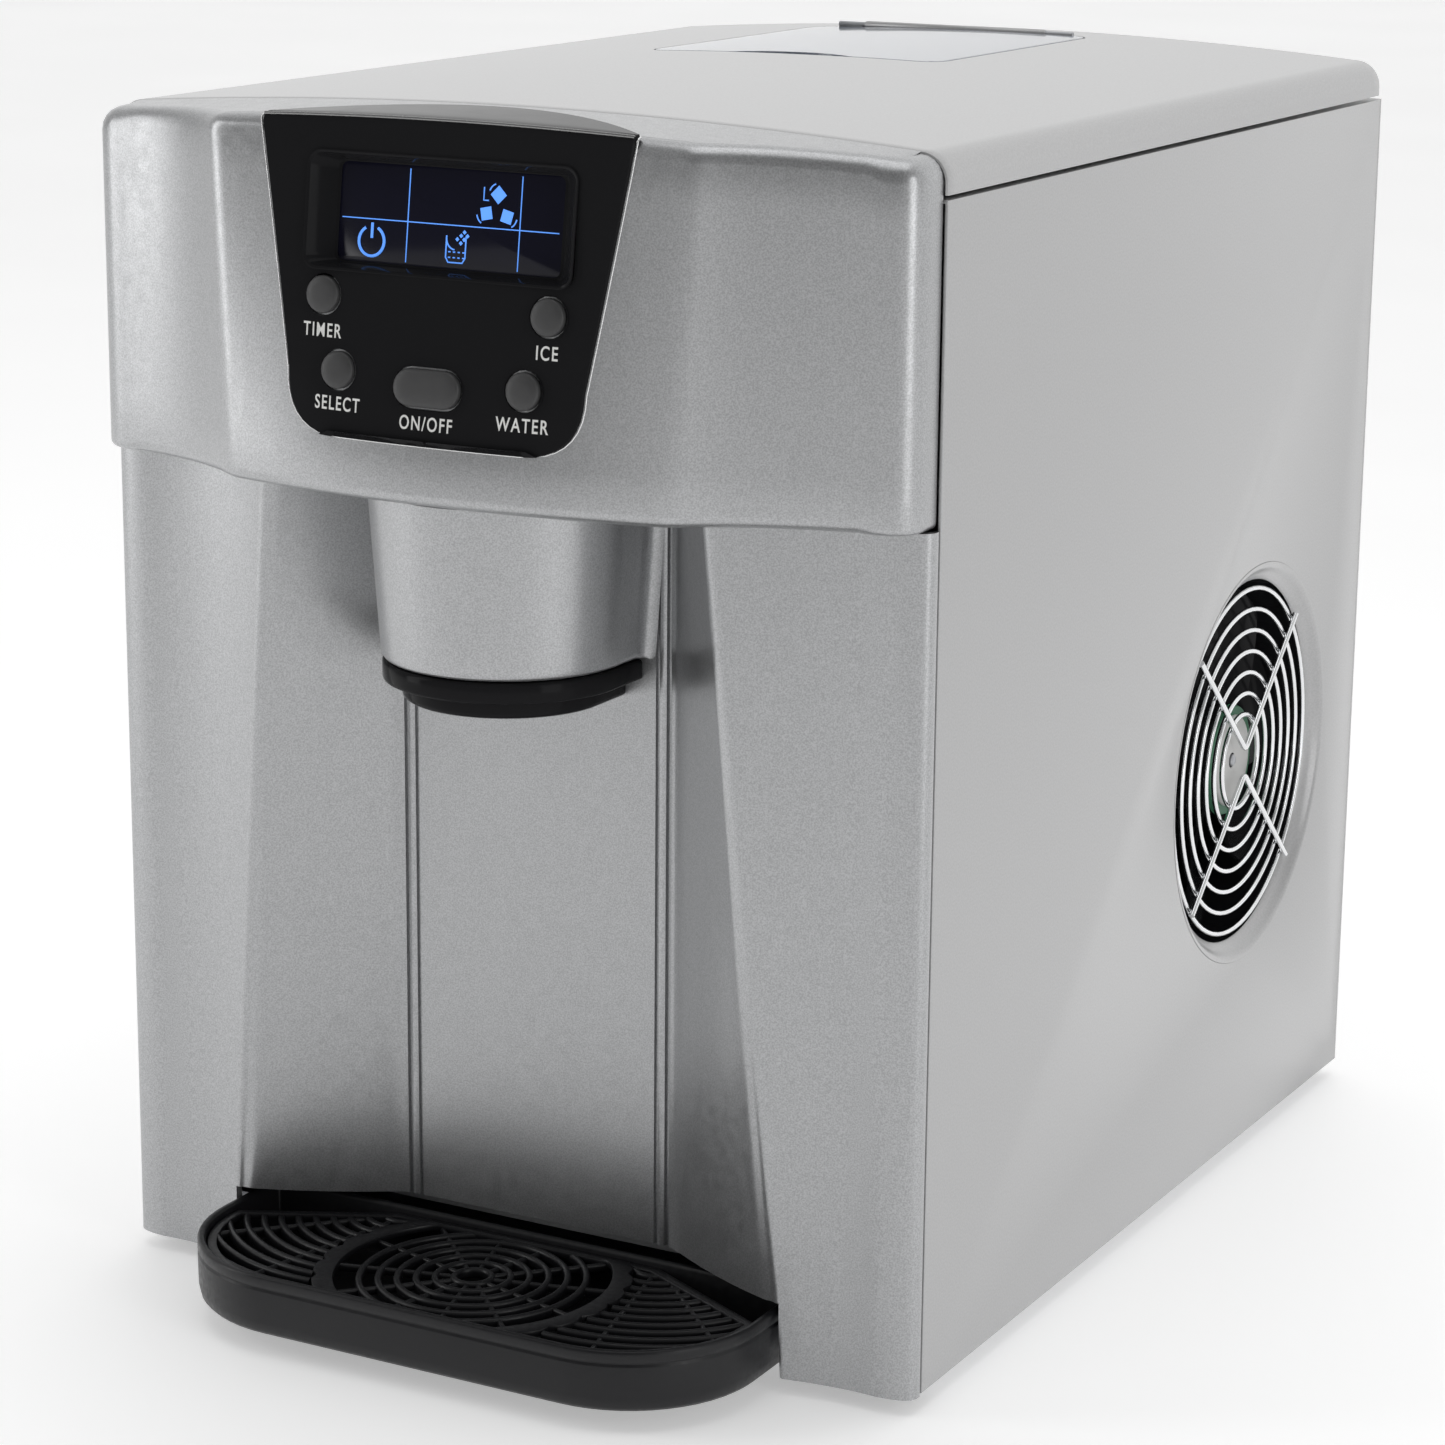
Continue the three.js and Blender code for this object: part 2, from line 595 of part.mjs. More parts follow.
function dripTray() {
  const outer = plate(trayOutline(0), TRAY_Z, TRAY_RIM_Z, 8);
  const inner = plate(trayOutline(TRAY_WALL), TRAY_Z + 2.4, TRAY_RIM_Z + 2, 8);
  return cut(outer, inner);
}

// Arc-shaped slots around the two rear corners of the bay, and round slots under the spout.
function gratePattern() {
  const z0 = GRATE_Z - 1;
  const deep = GRATE_THICK + 2;
  const corners = [[0, -70], [110, -70], [110, -17], [60, 11], [0, 11]];
  const wedge = new THREE.Shape().setFromPoints(corners.map((p) => new THREE.Vector2(...p)));
  const right = plate(wedge, z0, z0 + deep);
  const left = right.clone().rotateY(Math.PI).translate(0, 0, 2 * z0 + deep);
  const field = common(plate(trayOutline(TRAY_WALL + 4), z0, z0 + deep, 6), join(right, left));
  const seat = rod('z', SEAT_RADIUS + 2, deep + 2, 0, SEAT_Y, z0 - 1, 32);
  const middle = box(-ALCOVE_HALF + 2, ALCOVE_HALF - 2, -80, 40, z0 - 1, z0 + deep + 1);
  const sides = cut(field, seat, middle);
  const slots = [];
  for (let r = 12; r < 92; r += 10) {
    for (const side of [-1, 1]) {
      slots.push(ring('z', r + 6, r, deep, side * ALCOVE_HALF, TRAY_BACK_Y, z0, 20));
    }
  }
  const arcs = common(slots.reduce((all, slot) => join(all, slot)), sides);
  const bars = [-1, 1].map((side) => {
    const heading = side > 0 ? -Math.PI / 4 : -Math.PI * 0.75;
    const bar = box(0, 110, -1.6, 1.6, z0 - 1, z0 + deep + 1);
    return bar.rotateZ(heading).translate(side * ALCOVE_HALF, TRAY_BACK_Y, 0);
  });
  const cross = [box(-60, 60, SEAT_Y - 2, SEAT_Y + 2, z0 - 1, z0 + deep + 1),
    box(-2, 2, -90, 40, z0 - 1, z0 + deep + 1)];
  const rounds = [10, 22, 34].map((r) => ring('z', r + 6, r, deep, 0, SEAT_Y, z0, 20));
  return join(cut(arcs, ...bars), cut(rounds.reduce((all, slot) => join(all, slot)), ...cross));
}

// The grate stays clear of the splayed walls of the bay, so it lifts straight up.
function dripGrate() {
  const full = plate(trayOutline(TRAY_WALL + 0.5), GRATE_Z, GRATE_Z + GRATE_THICK, 8);
  const corners = [-1, 1].map((side) => {
    const shape = new THREE.Shape();
    const near = ALCOVE_HALF + 2;
    const points = [[near, TRAY_BACK_Y - 3.4], [TRAY_HALF, -12], [TRAY_HALF, 40], [near, 40]];
    const ordered = side > 0 ? points : points.map(([x, y]) => [-x, y]).reverse();
    shape.setFromPoints(ordered.map((p) => new THREE.Vector2(...p)));
    return plate(shape, GRATE_Z - 2, GRATE_Z + GRATE_THICK + 2);
  });
  const sheet = cut(full, ...corners);
  const legs = [[-50, 10], [50, 10], [-62, -48], [62, -48]].map(([x, y]) => (
    rod('z', 2.5, GRATE_Z - TRAY_Z - 2.4, x, y, TRAY_Z + 2.7, 8)
  ));
  return join(cut(sheet, gratePattern()), ...legs);
}

// ---- ice compartment, chute and water parts ----

const TRAY_PIVOT = { y: 382, z: 356 };

function iceBin() {
  const { half, y0, y1, z0, z1, wall } = BIN;
  const outer = box(-half, half, y0, y1, z0, z1);
  const inner = box(-half + wall, half - wall, y0 + wall, y1 - wall, z0 + wall, z1 + 2);
  const mouth = box(-CHUTE.half, CHUTE.half, y0 - 2, y0 + wall + 1, CHUTE.z0, CHUTE.z1);
  const axleHole = rod('x', 4, wall + 4, half - wall - 2, TRAY_PIVOT.y, TRAY_PIVOT.z, 12);
  return cut(outer, inner, mouth, axleHole);
}

function iceChute() {
  const rear = BIN.y0 - GAP;
  const front = ALCOVE_WALL_Y + SHELL + GAP;
  const outer = box(-CHUTE.half - 3, CHUTE.half + 3, front, rear, CHUTE.z0 - 3, CHUTE.z1 + 3);
  const inner = box(-CHUTE.half - 0.4, CHUTE.half + 0.4, front - 1, rear + 1, CHUTE.z0 - 0.4, CHUTE.z1 + 0.4);
  return cut(outer, inner);
}

const FLAP = { y: 30.5, z: 291.5, half: 28.4, length: 37 };

function chuteFlap() {
  const sheet = box(-FLAP.half, FLAP.half, FLAP.y - 1, FLAP.y + 1, FLAP.z - FLAP.length, FLAP.z);
  return join(sheet, rod('x', 1.9, 2 * FLAP.half, -FLAP.half, FLAP.y, FLAP.z, 12));
}

const AUGER = { y0: 43, y1: 294, z: 272, shaft: 4, coil: 17, wire: 2.6, turns: 5 };

// A shaft with a wire coil wound around it, tied to the shaft at both ends.
function iceAuger() {
  const shaft = rod('y', AUGER.shaft, AUGER.y1 - AUGER.y0, 0, AUGER.y0, AUGER.z, 12);
  const points = [];
  const first = AUGER.y0 + 8;
  const last = AUGER.y1 - 12;
  const count = AUGER.turns * 8;
  points.push([0, first, AUGER.z]);
  for (let i = 0; i <= count; i += 1) {
    const turn = (i / 8) * 2 * Math.PI;
    const y = first + 4 + ((last - first - 8) * i) / count;
    points.push([AUGER.coil * Math.sin(turn), y, AUGER.z + AUGER.coil * Math.cos(turn)]);
  }
  points.push([0, last, AUGER.z]);
  return join(shaft, tube(points, AUGER.wire, 64, 2));
}

function augerMotor() {
  const block = box(-24, 24, 300, 340, BIN.z0 + BIN.wall + GAP, 292);
  const boss = rod('y', 9, 6, 0, 294.4, AUGER.z, 16);
  return join(block, boss);
}

const FINGER_ROWS = [330, 352];

function evaporator() {
  const header = box(-74, 38, 320, 364, 396, 403);
  const fingers = [];
  for (let column = 0; column < 5; column += 1) {
    for (const y of FINGER_ROWS) {
      fingers.push(rod('z', 6, 34, -62 + column * 22, y, 363, 12, 7));
    }
  }
  const stub = rod('z', 4, 3.4, -60, 342, 402.6, 10);
  return join(header, stub, ...fingers);
}

function freezingTray() {
  const outer = box(-80, 44, 306, 384, 350, 379);
  const inner = box(-78, 42, 308, 382, 353, 381);
  const axle = rod('x', 3, 205, -92, TRAY_PIVOT.y, TRAY_PIVOT.z, 12);
  const floorBoss = box(-80, 44, 379, 384, 352, 360);
  return join(cut(outer, inner), floorBoss, axle);
}

const SHOVEL_PIVOT = { y: 299, z: 398 };

function iceShovel() {
  const bladeTop = rod('x', 3, 132, -84, SHOVEL_PIVOT.y, SHOVEL_PIVOT.z, 12);
  const blade = box(-78, 42, SHOVEL_PIVOT.y - 1.2, SHOVEL_PIVOT.y + 1.2, 354, SHOVEL_PIVOT.z);
  return join(blade, bladeTop);
}

const trayMotor = () => box(113.6, 142, 356, 396, 336, 380);

function waterTank() {
  const { x0, x1, y0, y1, z0, z1, wall } = TANK;
  const outer = box(x0, x1, y0, y1, z0, z1);
  const inner = box(x0 + wall, x1 - wall, y0 + wall, y1 - wall, z0 + wall, z1 + 2);
  return cut(outer, inner);
}

function waterPump() {
  const housing = rod('z', 19, 34, 112, 140, 24, 20);
  const outlet = rod('z', 4.5, 8, 112, 140, 57, 12);
  const base = box(92, 132, 121, 159, 21, 26);
  return join(housing, outlet, base);
}

const waterTube = () => tube([
  [112, 140, 65.5], [112, 140, 110], [122, 110, 170], [116, 60, 228], [80, 32.2, 238], [38, 32.2, 240]
], 3.5, 26, 3);

function floatStem() {
  return join(rod('z', 2, 86, -60, 110, 27.3, 10), rod('z', 7, 3, -60, 110, 112, 14));
}

const floatRing = () => ring('z', 12, 2.6, 14, -60, 110, 32, 16);

// ---- refrigeration and fan ----

function compressor() {
  const profile = [[0, 0], [44, 0], [52, 12], [52, 96], [44, 118], [26, 128], [0, 130]];
  const dome = new THREE.LatheGeometry(profile.map((p) => new THREE.Vector2(...p)), 28);
  const body = dome.rotateX(Math.PI / 2).translate(-74, 318, 14);
  const bracket = box(-134, -14, 288, 348, 9, 16);
  return join(body, bracket);
}

function condenser() {
  const core = box(78, 98, FAN_Y - 72, FAN_Y + 72, 90, 232);
  const grooves = [];
  for (let i = 0; i < 9; i += 1) {
    const z = 98 + i * 15;
    grooves.push(box(76, 88, FAN_Y - 80, FAN_Y + 80, z, z + 9));
  }
  return cut(core, ...grooves);
}

const filterDrier = () => rod('z', 9, 92, 24, 386, 70, 14);

const suctionPipe = () => tube(
  [[-74, 318, 145], [-74, 318, 153], [-84, 344, 186], [-112, 376, 214], [-132, 372, 300], [-130, 340, 394],
    [-112, 342, 409.5], [-54, 342, 409.5]], 3, 36, 2);

function fanFrame() {
  const outer = box(122, 152, FAN_Y - 76, FAN_Y + 76, FAN_Z - 76, FAN_Z + 76);
  const bore = rod('x', 72, 34, 120, FAN_Y, FAN_Z, 40);
  const struts = [box(118, 122.5, FAN_Y - 76, FAN_Y + 76, FAN_Z - 5, FAN_Z + 5),
    box(118, 122.5, FAN_Y - 5, FAN_Y + 5, FAN_Z - 76, FAN_Z + 76)];
  return join(cut(outer, bore), ...struts);
}

function fanMotor() {
  return join(rod('x', 19, 11, 106.5, FAN_Y, FAN_Z, 20), rod('x', 12, 10, 96 + GAP * 9, FAN_Y, FAN_Z, 16));
}

function fanRotor() {
  const hub = rod('x', FAN_HUB, 24, 123.5, FAN_Y, FAN_Z, 24);
  const blades = [];
  for (let i = 0; i < 7; i += 1) {
    const blade = box(-1.2, 1.2, -15, 15, FAN_HUB - 3, 68);
    blade.rotateZ(-0.55).rotateX((i * 2 * Math.PI) / 7).translate(136, FAN_Y, FAN_Z);
    blades.push(blade);
  }
  return join(hub, ...blades);
}

// Seven round wires carried by two V-shaped wires whose tips point at the middle.
function fanGuard() {
  const rings = [];
  for (let i = 0; i < 7; i += 1) {
    const wire = new THREE.TorusGeometry(18.4 + i * 8.25, 1.1, 4, 26);
    rings.push(wire.rotateY(Math.PI / 2).translate(154.6, FAN_Y, FAN_Z));
  }
  const legs = [-1, 1].map((side) => {
    const reach = 49.5;
    const tip = side * 5;
    const shape = [[-reach, side * reach], [-3, tip + side * 1.5], [0, tip], [3, tip + side * 1.5],
      [reach, side * reach]];
    return tube(shape.map(([y, z]) => [156.2, FAN_Y + y, FAN_Z + z]), 1.15, 8, 2);
  });
  return join(rings[0], ...rings.slice(1), ...legs);
}

// ---- electrics and rear fittings ----

function controlBoard() {
  const board = box(-150, -148.4, 60, 190, 150, 230);
  const relays = [80, 110, 140].map((y) => box(-148.6, -134, y, y + 18, 200, 216));
  const transformer = box(-148.6, -120, 150, 184, 156, 186);
  return join(board, ...relays, transformer);
}

function cordGland() {
  const flange = ring('y', 11, 4, 3, 120, DEPTH + GAP, 36, 20);
  const sleeve = ring('y', 7.6, 4, 12, 120, DEPTH - 8, 36, 20);
  return join(flange, sleeve);
}

function drainSpout() {
  const barrel = ring('y', 10.6, 6.4, 18, -110, DEPTH - 10, 30, 20);
  const flange = ring('y', 14, 6.4, 2, -110, DEPTH + GAP, 30, 20);
  return join(barrel, flange);
}

function drainPlug() {
  const stem = rod('y', 6, 13, -110, DEPTH - 4, 30, 16);
  const head = rod('y', 10, 3, -110, DEPTH + 8.3, 30, 20);
  return join(stem, head);
}

// ---- the assembly ----

add('base_pan', basePan(), STEEL);
[[-128, 50, 'front_left'], [128, 50, 'front_right'], [-128, 376, 'rear_left'], [128, 376, 'rear_right']]
  .forEach(([x, y, place]) => add(`foot_${place}`, foot(x, y), RUBBER));
add('left_side_panel', leftPanel(), GREY_PAINT);
add('right_side_panel', rightPanel(), GREY_PAINT);
add('rear_panel', rearPanel(), GREY_PAINT);
add('top_cover', topCover(), GREY_PAINT);
add('lid', lid(), CLEAR_PLASTIC);
add('lid_seal_frame', lidSealFrame(), RUBBER);
add('lid_hinge_pin', rod('x', 1.2, 106, LID_X - 53, HINGE_Y, HINGE_Z, 12), STEEL);
add('front_upper_bezel', frontUpperBezel(), SILVER);
add('front_lower_panel', frontLowerPanel(), SILVER);
add('nozzle_housing', nozzleHousing(), SILVER);
const COLLAR_Z = NOZZLE_Z - COLLAR_HEIGHT;
add('nozzle_collar', nozzleRing(COLLAR_RADIUS, 32, COLLAR_Z, COLLAR_HEIGHT - GAP), GLOSS_BLACK);
add('nozzle_spout', nozzleRing(SPOUT_RADIUS, 31, COLLAR_Z - SPOUT_HEIGHT, SPOUT_HEIGHT - GAP), GLOSS_BLACK);
add('control_panel', controlPanel(), GLOSS_BLACK);
add('display_window', displayWindow(), DARK_GLASS);
add('display_board', displayBoard(), GREEN_BOARD);
BUTTONS.forEach((button) => {
  add(button.name, buttonSolid(button, BUTTON_RADIUS, -BUTTON_RISE, BUTTON_STEM), BUTTON_GREY);
});
add('drip_tray', dripTray(), SATIN_BLACK);
add('drip_grate', dripGrate(), SATIN_BLACK);
add('ice_bin', iceBin(), WHITE_PLASTIC);
add('ice_chute', iceChute(), WHITE_PLASTIC);
add('chute_flap', chuteFlap(), WHITE_PLASTIC);
add('ice_auger', iceAuger(), STEEL);
add('auger_motor', augerMotor(), STEEL);
add('evaporator', evaporator(), COPPER);
add('freezing_tray', freezingTray(), WHITE_PLASTIC);
add('ice_shovel', iceShovel(), WHITE_PLASTIC);
add('tray_motor', trayMotor(), SATIN_BLACK);
add('water_tank', waterTank(), WHITE_PLASTIC);
add('water_pump', waterPump(), SATIN_BLACK);
add('water_tube', waterTube(), CLEAR_PLASTIC);
add('float_stem', floatStem(), WHITE_PLASTIC);
add('float', floatRing(), WHITE_PLASTIC);
add('compressor', compressor(), SATIN_BLACK);
add('condenser', condenser(), ALUMINIUM);
add('filter_drier', filterDrier(), COPPER);
add('suction_pipe', suctionPipe(), COPPER);
add('fan_frame', fanFrame(), SATIN_BLACK);
add('fan_motor', fanMotor(), SATIN_BLACK);
add('fan_rotor', fanRotor(), GLOSS_BLACK);
add('fan_guard', fanGuard(), CHROME);
add('control_board', controlBoard(), GREEN_BOARD);
add('cord_gland', cordGland(), RUBBER);
add('drain_spout', drainSpout(), WHITE_PLASTIC);
add('drain_plug', drainPlug(), RUBBER);

// The origin is the middle of the footprint, on the surface the feet stand on.
const REAR_Y = DEPTH + 11.3;
object.position.y = -(TRAY_FRONT_Y + REAR_Y) / 2;

export default object;
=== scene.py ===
import bmesh
import bpy
import json
import math
from mathutils import Matrix, Vector


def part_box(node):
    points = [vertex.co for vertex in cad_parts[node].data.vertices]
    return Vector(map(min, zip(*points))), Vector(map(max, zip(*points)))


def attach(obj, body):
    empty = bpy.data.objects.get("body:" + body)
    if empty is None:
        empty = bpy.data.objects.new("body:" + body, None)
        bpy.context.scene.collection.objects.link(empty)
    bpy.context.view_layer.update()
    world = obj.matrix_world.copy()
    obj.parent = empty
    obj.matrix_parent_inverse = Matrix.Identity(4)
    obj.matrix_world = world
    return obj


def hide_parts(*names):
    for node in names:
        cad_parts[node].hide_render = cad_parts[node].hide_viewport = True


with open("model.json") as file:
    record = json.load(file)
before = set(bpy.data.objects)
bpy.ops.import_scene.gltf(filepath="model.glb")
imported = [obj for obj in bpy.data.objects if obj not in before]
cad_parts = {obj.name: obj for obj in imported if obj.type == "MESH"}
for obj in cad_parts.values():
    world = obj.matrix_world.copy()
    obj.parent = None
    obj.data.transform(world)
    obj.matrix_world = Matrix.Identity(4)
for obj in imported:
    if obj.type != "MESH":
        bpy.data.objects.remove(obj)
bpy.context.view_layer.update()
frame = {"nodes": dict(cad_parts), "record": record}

# ---- the object's own coordinates: millimetres from the front plane of the lower columns ----

SEAM_Y = 8.0
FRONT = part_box("right_side_panel")[0].y * 1000 - SEAM_Y - 0.3
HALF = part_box("right_side_panel")[1].x * 1000
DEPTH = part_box("rear_panel")[1].y * 1000 - FRONT
COVER_EDGE_Z = 423.0
CROWN = 6.0
EDGE_RADIUS = 10.0
HEAD_LOW_Z = 303.0
HEAD_HALF = HALF - 1.5
CREASE_X = 92.0
CREASE_Y = -32.0
CREASE_SHIFT = 7.0
CREASE_LEAN = 5.0
CENTRE_LEAN = 16.0
PANEL_LEAN = math.radians(7.4)
PANEL_PROUD = 0.8
FAN_Y = 295.0
FAN_Z = 161.0
NOZZLE_Y = 5.0
WALL_Y = 23.0
TRAY_HALF = 110.0
TRAY_FRONT = -64.0
TRAY_BACK = 20.0
TRAY_CORNER = 50.0
TRAY_RIM = 30.0
SEAT_Y = -20.0


def at(x, y, z):
    """A point in metres from the object's own millimetres."""
    return Vector((x / 1000, (FRONT + y) / 1000, z / 1000))


# ---- materials ----


def material(name, colour, rough, metal=0.0, **inputs):
    mat = bpy.data.materials.new(name)
    mat.use_nodes = True
    shader = mat.node_tree.nodes["Principled BSDF"]
    shader.inputs["Base Color"].default_value = (*colour, 1)
    shader.inputs["Roughness"].default_value = rough
    shader.inputs["Metallic"].default_value = metal
    for key, value in inputs.items():
        shader.inputs[key.replace("_", " ")].default_value = value
    return mat


def noise(mat, scale, detail=2.0):
    """A noise texture in object space, its scale in waves per metre."""
    tree = mat.node_tree
    where = tree.nodes.new("ShaderNodeTexCoord")
    texture = tree.nodes.new("ShaderNodeTexNoise")
    texture.inputs["Scale"].default_value = scale
    texture.inputs["Detail"].default_value = detail
    tree.links.new(where.outputs["Object"], texture.inputs["Vector"])
    return texture.outputs["Fac"]


def vary(mat, fac, socket, low, high, start=0.3, stop=0.7):
    """Runs a noise between two values, or two colours, into a shader socket."""
    tree = mat.node_tree
    ramp = tree.nodes.new("ShaderNodeValToRGB")
    ramp.color_ramp.elements[0].position = start
    ramp.color_ramp.elements[1].position = stop
    as_colour = lambda v: (*v, 1) if isinstance(v, tuple) else (v, v, v, 1)
    ramp.color_ramp.elements[0].color = as_colour(low)
    ramp.color_ramp.elements[1].color = as_colour(high)
    tree.links.new(fac, ramp.inputs["Fac"])
    tree.links.new(ramp.outputs["Color"], tree.nodes["Principled BSDF"].inputs[socket])


def bump(mat, fac, strength, distance):
    tree = mat.node_tree
    node = tree.nodes.new("ShaderNodeBump")
    node.inputs["Strength"].default_value = strength
    node.inputs["Distance"].default_value = distance
    tree.links.new(fac, node.inputs["Height"])
    tree.links.new(node.outputs["Normal"], tree.nodes["Principled BSDF"].inputs["Normal"])


def silver_paint():
    """Metallic silver paint on plastic, with its fine sparkle."""
    mat = material("silver_paint", (0.5, 0.5, 0.51), 0.3, 0.8, Coat_Weight=0.2, Coat_Roughness=0.14)
    flakes = noise(mat, 1900, 1.0)
    vary(mat, flakes, "Base Color", (0.36, 0.364, 0.37), (0.48, 0.485, 0.494), 0.35, 0.65)
    bump(mat, noise(mat, 1500, 1.0), 0.1, 0.00008)
    vary(mat, noise(mat, 260, 2.0), "Roughness", 0.3, 0.37)
    return mat


def grey_paint():
    """Smooth light grey paint on sheet steel."""
    mat = material("grey_paint", (0.45, 0.45, 0.455), 0.33, 0.3, Coat_Weight=0.35, Coat_Roughness=0.18)
    vary(mat, noise(mat, 1400, 1.0), "Base Color", (0.43, 0.43, 0.433), (0.475, 0.475, 0.478), 0.35, 0.65)
    bump(mat, noise(mat, 420, 2.0), 0.05, 0.0002)
    return mat


def gloss_black():
    mat = material("gloss_black", (0.014, 0.014, 0.015), 0.1, Specular_IOR_Level=0.04)
    vary(mat, noise(mat, 90, 2.0), "Roughness", 0.08, 0.15)
    return mat


def satin_black():
    mat = material("satin_black", (0.009, 0.009, 0.0105), 0.36, Specular_IOR_Level=0.35)
    vary(mat, noise(mat, 500, 3.0), "Roughness", 0.3, 0.44)
    bump(mat, noise(mat, 2600, 2.0), 0.12, 0.0001)
    return mat


def plain(name, colour, rough, metal=0.0, grain=900, depth=0.08, **inputs):
    """A moulded or drawn surface: its colour and roughness wander a little over a fine grain."""
    mat = material(name, colour, rough, metal, **inputs)
    darker = tuple(c * 0.9 for c in colour)
    vary(mat, noise(mat, grain / 6, 3.0), "Base Color", darker, colour)
    vary(mat, noise(mat, grain / 3, 2.0), "Roughness", rough * 0.85, min(1.0, rough * 1.15))
    bump(mat, noise(mat, grain, 2.0), depth, 0.0001)
    return mat


def clear_plastic():
    """Smoky blue see-through plastic."""
    mat = material("clear_plastic", (0.66, 0.71, 0.8), 0.06, 0.0, Transmission_Weight=0.8, IOR=1.45)
    vary(mat, noise(mat, 60, 2.0), "Roughness", 0.042, 0.084)
    return mat


def glow(name, colour, strength):
    mat = material(name, colour, 0.4)
    shader = mat.node_tree.nodes["Principled BSDF"]
    shader.inputs["Emission Color"].default_value = (*colour, 1)
    shader.inputs["Emission Strength"].default_value = strength
    vary(mat, noise(mat, 700, 1.0), "Base Color", colour, tuple(c * 0.92 for c in colour))
    return mat


LOOK = {
    "silver_paint": silver_paint(),
    "grey_paint": grey_paint(),
    "gloss_black": gloss_black(),
    "satin_black": satin_black(),
    "button_grey": plain("button_grey", (0.046, 0.046, 0.047), 0.5, grain=2200, depth=0.12),
    "rubber": plain("rubber", (0.02, 0.02, 0.02), 0.8, grain=1200, depth=0.2),
    "chrome": plain("chrome", (0.86, 0.87, 0.88), 0.14, 1.0, grain=500, depth=0.02),
    "steel": plain("steel", (0.45, 0.46, 0.48), 0.35, 0.95, grain=700),
    "copper": plain("copper", (0.62, 0.27, 0.14), 0.3, 1.0, grain=600),
    "aluminium": plain("aluminium", (0.62, 0.63, 0.65), 0.38, 1.0, grain=1000),
    "white_plastic": plain("white_plastic", (0.78, 0.79, 0.8), 0.42),
    "clear_plastic": clear_plastic(),
    "display_glass": plain("display_glass", (0.006, 0.006, 0.016), 0.14, grain=60, depth=0.0,
                           Specular_IOR_Level=0.25),
    "circuit_board": plain("circuit_board", (0.03, 0.16, 0.08), 0.4),
}
PRINT_WHITE = plain("print_white", (0.82, 0.82, 0.8), 0.5, grain=3000)
ICON_BLUE = glow("icon_blue", (0.09, 0.27, 0.8), 0.9)
# Painted shade: dark sheets set behind the cooling slots.
PAINTED_VENT_SHADE = plain("painted_vent_shade", (0.015, 0.015, 0.016), 0.7)
# Painted highlight: a pale wire standing for the light caught along the panel's chamfered outline.
PAINTED_OUTLINE_HIGHLIGHT = plain("painted_outline_highlight", (0.8, 0.8, 0.8), 0.25, 0.9, grain=800, depth=0.02)
# Painted highlight: a grey wire standing for the reflection along the panel's rounded top edge.
PAINTED_EDGE_HIGHLIGHT = plain("painted_edge_highlight", (0.3, 0.3, 0.3), 0.25, 0.8, grain=800, depth=0.02)
# Painted shade: dark sheets under the lid's edge and its finger pull.
PAINTED_LID_SHADE = plain("lid_edge_painted_shade", (0.07, 0.075, 0.09), 0.4)
LABEL_GREY = plain("label_grey", (0.55, 0.55, 0.54), 0.5, grain=900)

# ---- making pieces ----

WELD = 1e-6


def place(obj, look, body="cabinet", stands_for=(), angle=35):
    """Dresses a piece, shades it smooth up to an angle, and rides it on its body."""
    if isinstance(look, str):
        look = LOOK[look]
    obj.data.materials.clear()
    obj.data.materials.append(look)
    if obj.type == "MESH":
        obj.data.shade_smooth()
        obj.data.set_sharp_from_angle(angle=math.radians(angle))
    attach(obj, body)
    if stands_for:
        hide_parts(*stands_for)
    return obj


def linked(name, data):
    """A new object in the scene."""
    obj = bpy.data.objects.new(name, data)
    bpy.context.scene.collection.objects.link(obj)
    return obj


def mesh_object(name, points, faces):
    data = bpy.data.meshes.new(name)
    data.from_pydata([tuple(p) for p in points], [], faces)
    data.validate()
    return linked(name, data)


def from_bmesh(name, bm):
    bmesh.ops.recalc_face_normals(bm, faces=bm.faces)
    data = bpy.data.meshes.new(name)
    bm.to_mesh(data)
    bm.free()
    return linked(name, data)


def weld(mesh):
    """Joins points that coincide and turns every face outward."""
    bm = bmesh.new()
    bm.from_mesh(mesh)
    bmesh.ops.remove_doubles(bm, verts=bm.verts, dist=WELD)
    bmesh.ops.recalc_face_normals(bm, faces=bm.faces)
    bm.to_mesh(mesh)
    bm.free()


def poly_curve(name, lines, dimensions="3D", closed=False):
    """A curve with one straight-sided spline per line of points, in metres."""
    data = bpy.data.curves.new(name, "CURVE")
    data.dimensions = dimensions
    for line in lines:
        spline = data.splines.new("POLY")
        spline.points.add(len(line) - 1)
        for point, place_at in zip(spline.points, line):
            point.co = (*place_at, 1)
        spline.use_cyclic_u = closed
    return linked(name, data)


def as_mesh(obj):
    """Turns a curve or text object into a mesh object of the same name."""
    deps = bpy.context.evaluated_depsgraph_get()
    mesh = bpy.data.meshes.new_from_object(obj.evaluated_get(deps))
    name = obj.name
    bpy.data.objects.remove(obj)
    return linked(name, mesh)


def skin(name, rows, closed=False, capped=False):
    """A surface through rows of points; closed joins each row's end to its start."""
    width = len(rows[0])
    points = [p for row in rows for p in row]
    faces = []
    for j in range(len(rows) - 1):
        for i in range(width if closed else width - 1):
            k = (i + 1) % width
            faces.append((j * width + i, j * width + k, (j + 1) * width + k, (j + 1) * width + i))
    if capped:
        faces.append(tuple(range(width))[::-1])
        faces.append(tuple((len(rows) - 1) * width + i for i in range(width)))
    obj = mesh_object(name, points, faces)
    weld(obj.data)
    return obj


def bake(obj):
    """Applies a piece's modifiers to its mesh."""
    deps = bpy.context.evaluated_depsgraph_get()
    data = bpy.data.meshes.new_from_object(obj.evaluated_get(deps))
    obj.modifiers.clear()
    obj.data = data
    return obj


def thicken(obj, millimetres, offset=-1.0):
    mod = obj.modifiers.new("wall", "SOLIDIFY")
    mod.thickness = millimetres / 1000
    mod.offset = offset
    return bake(obj)


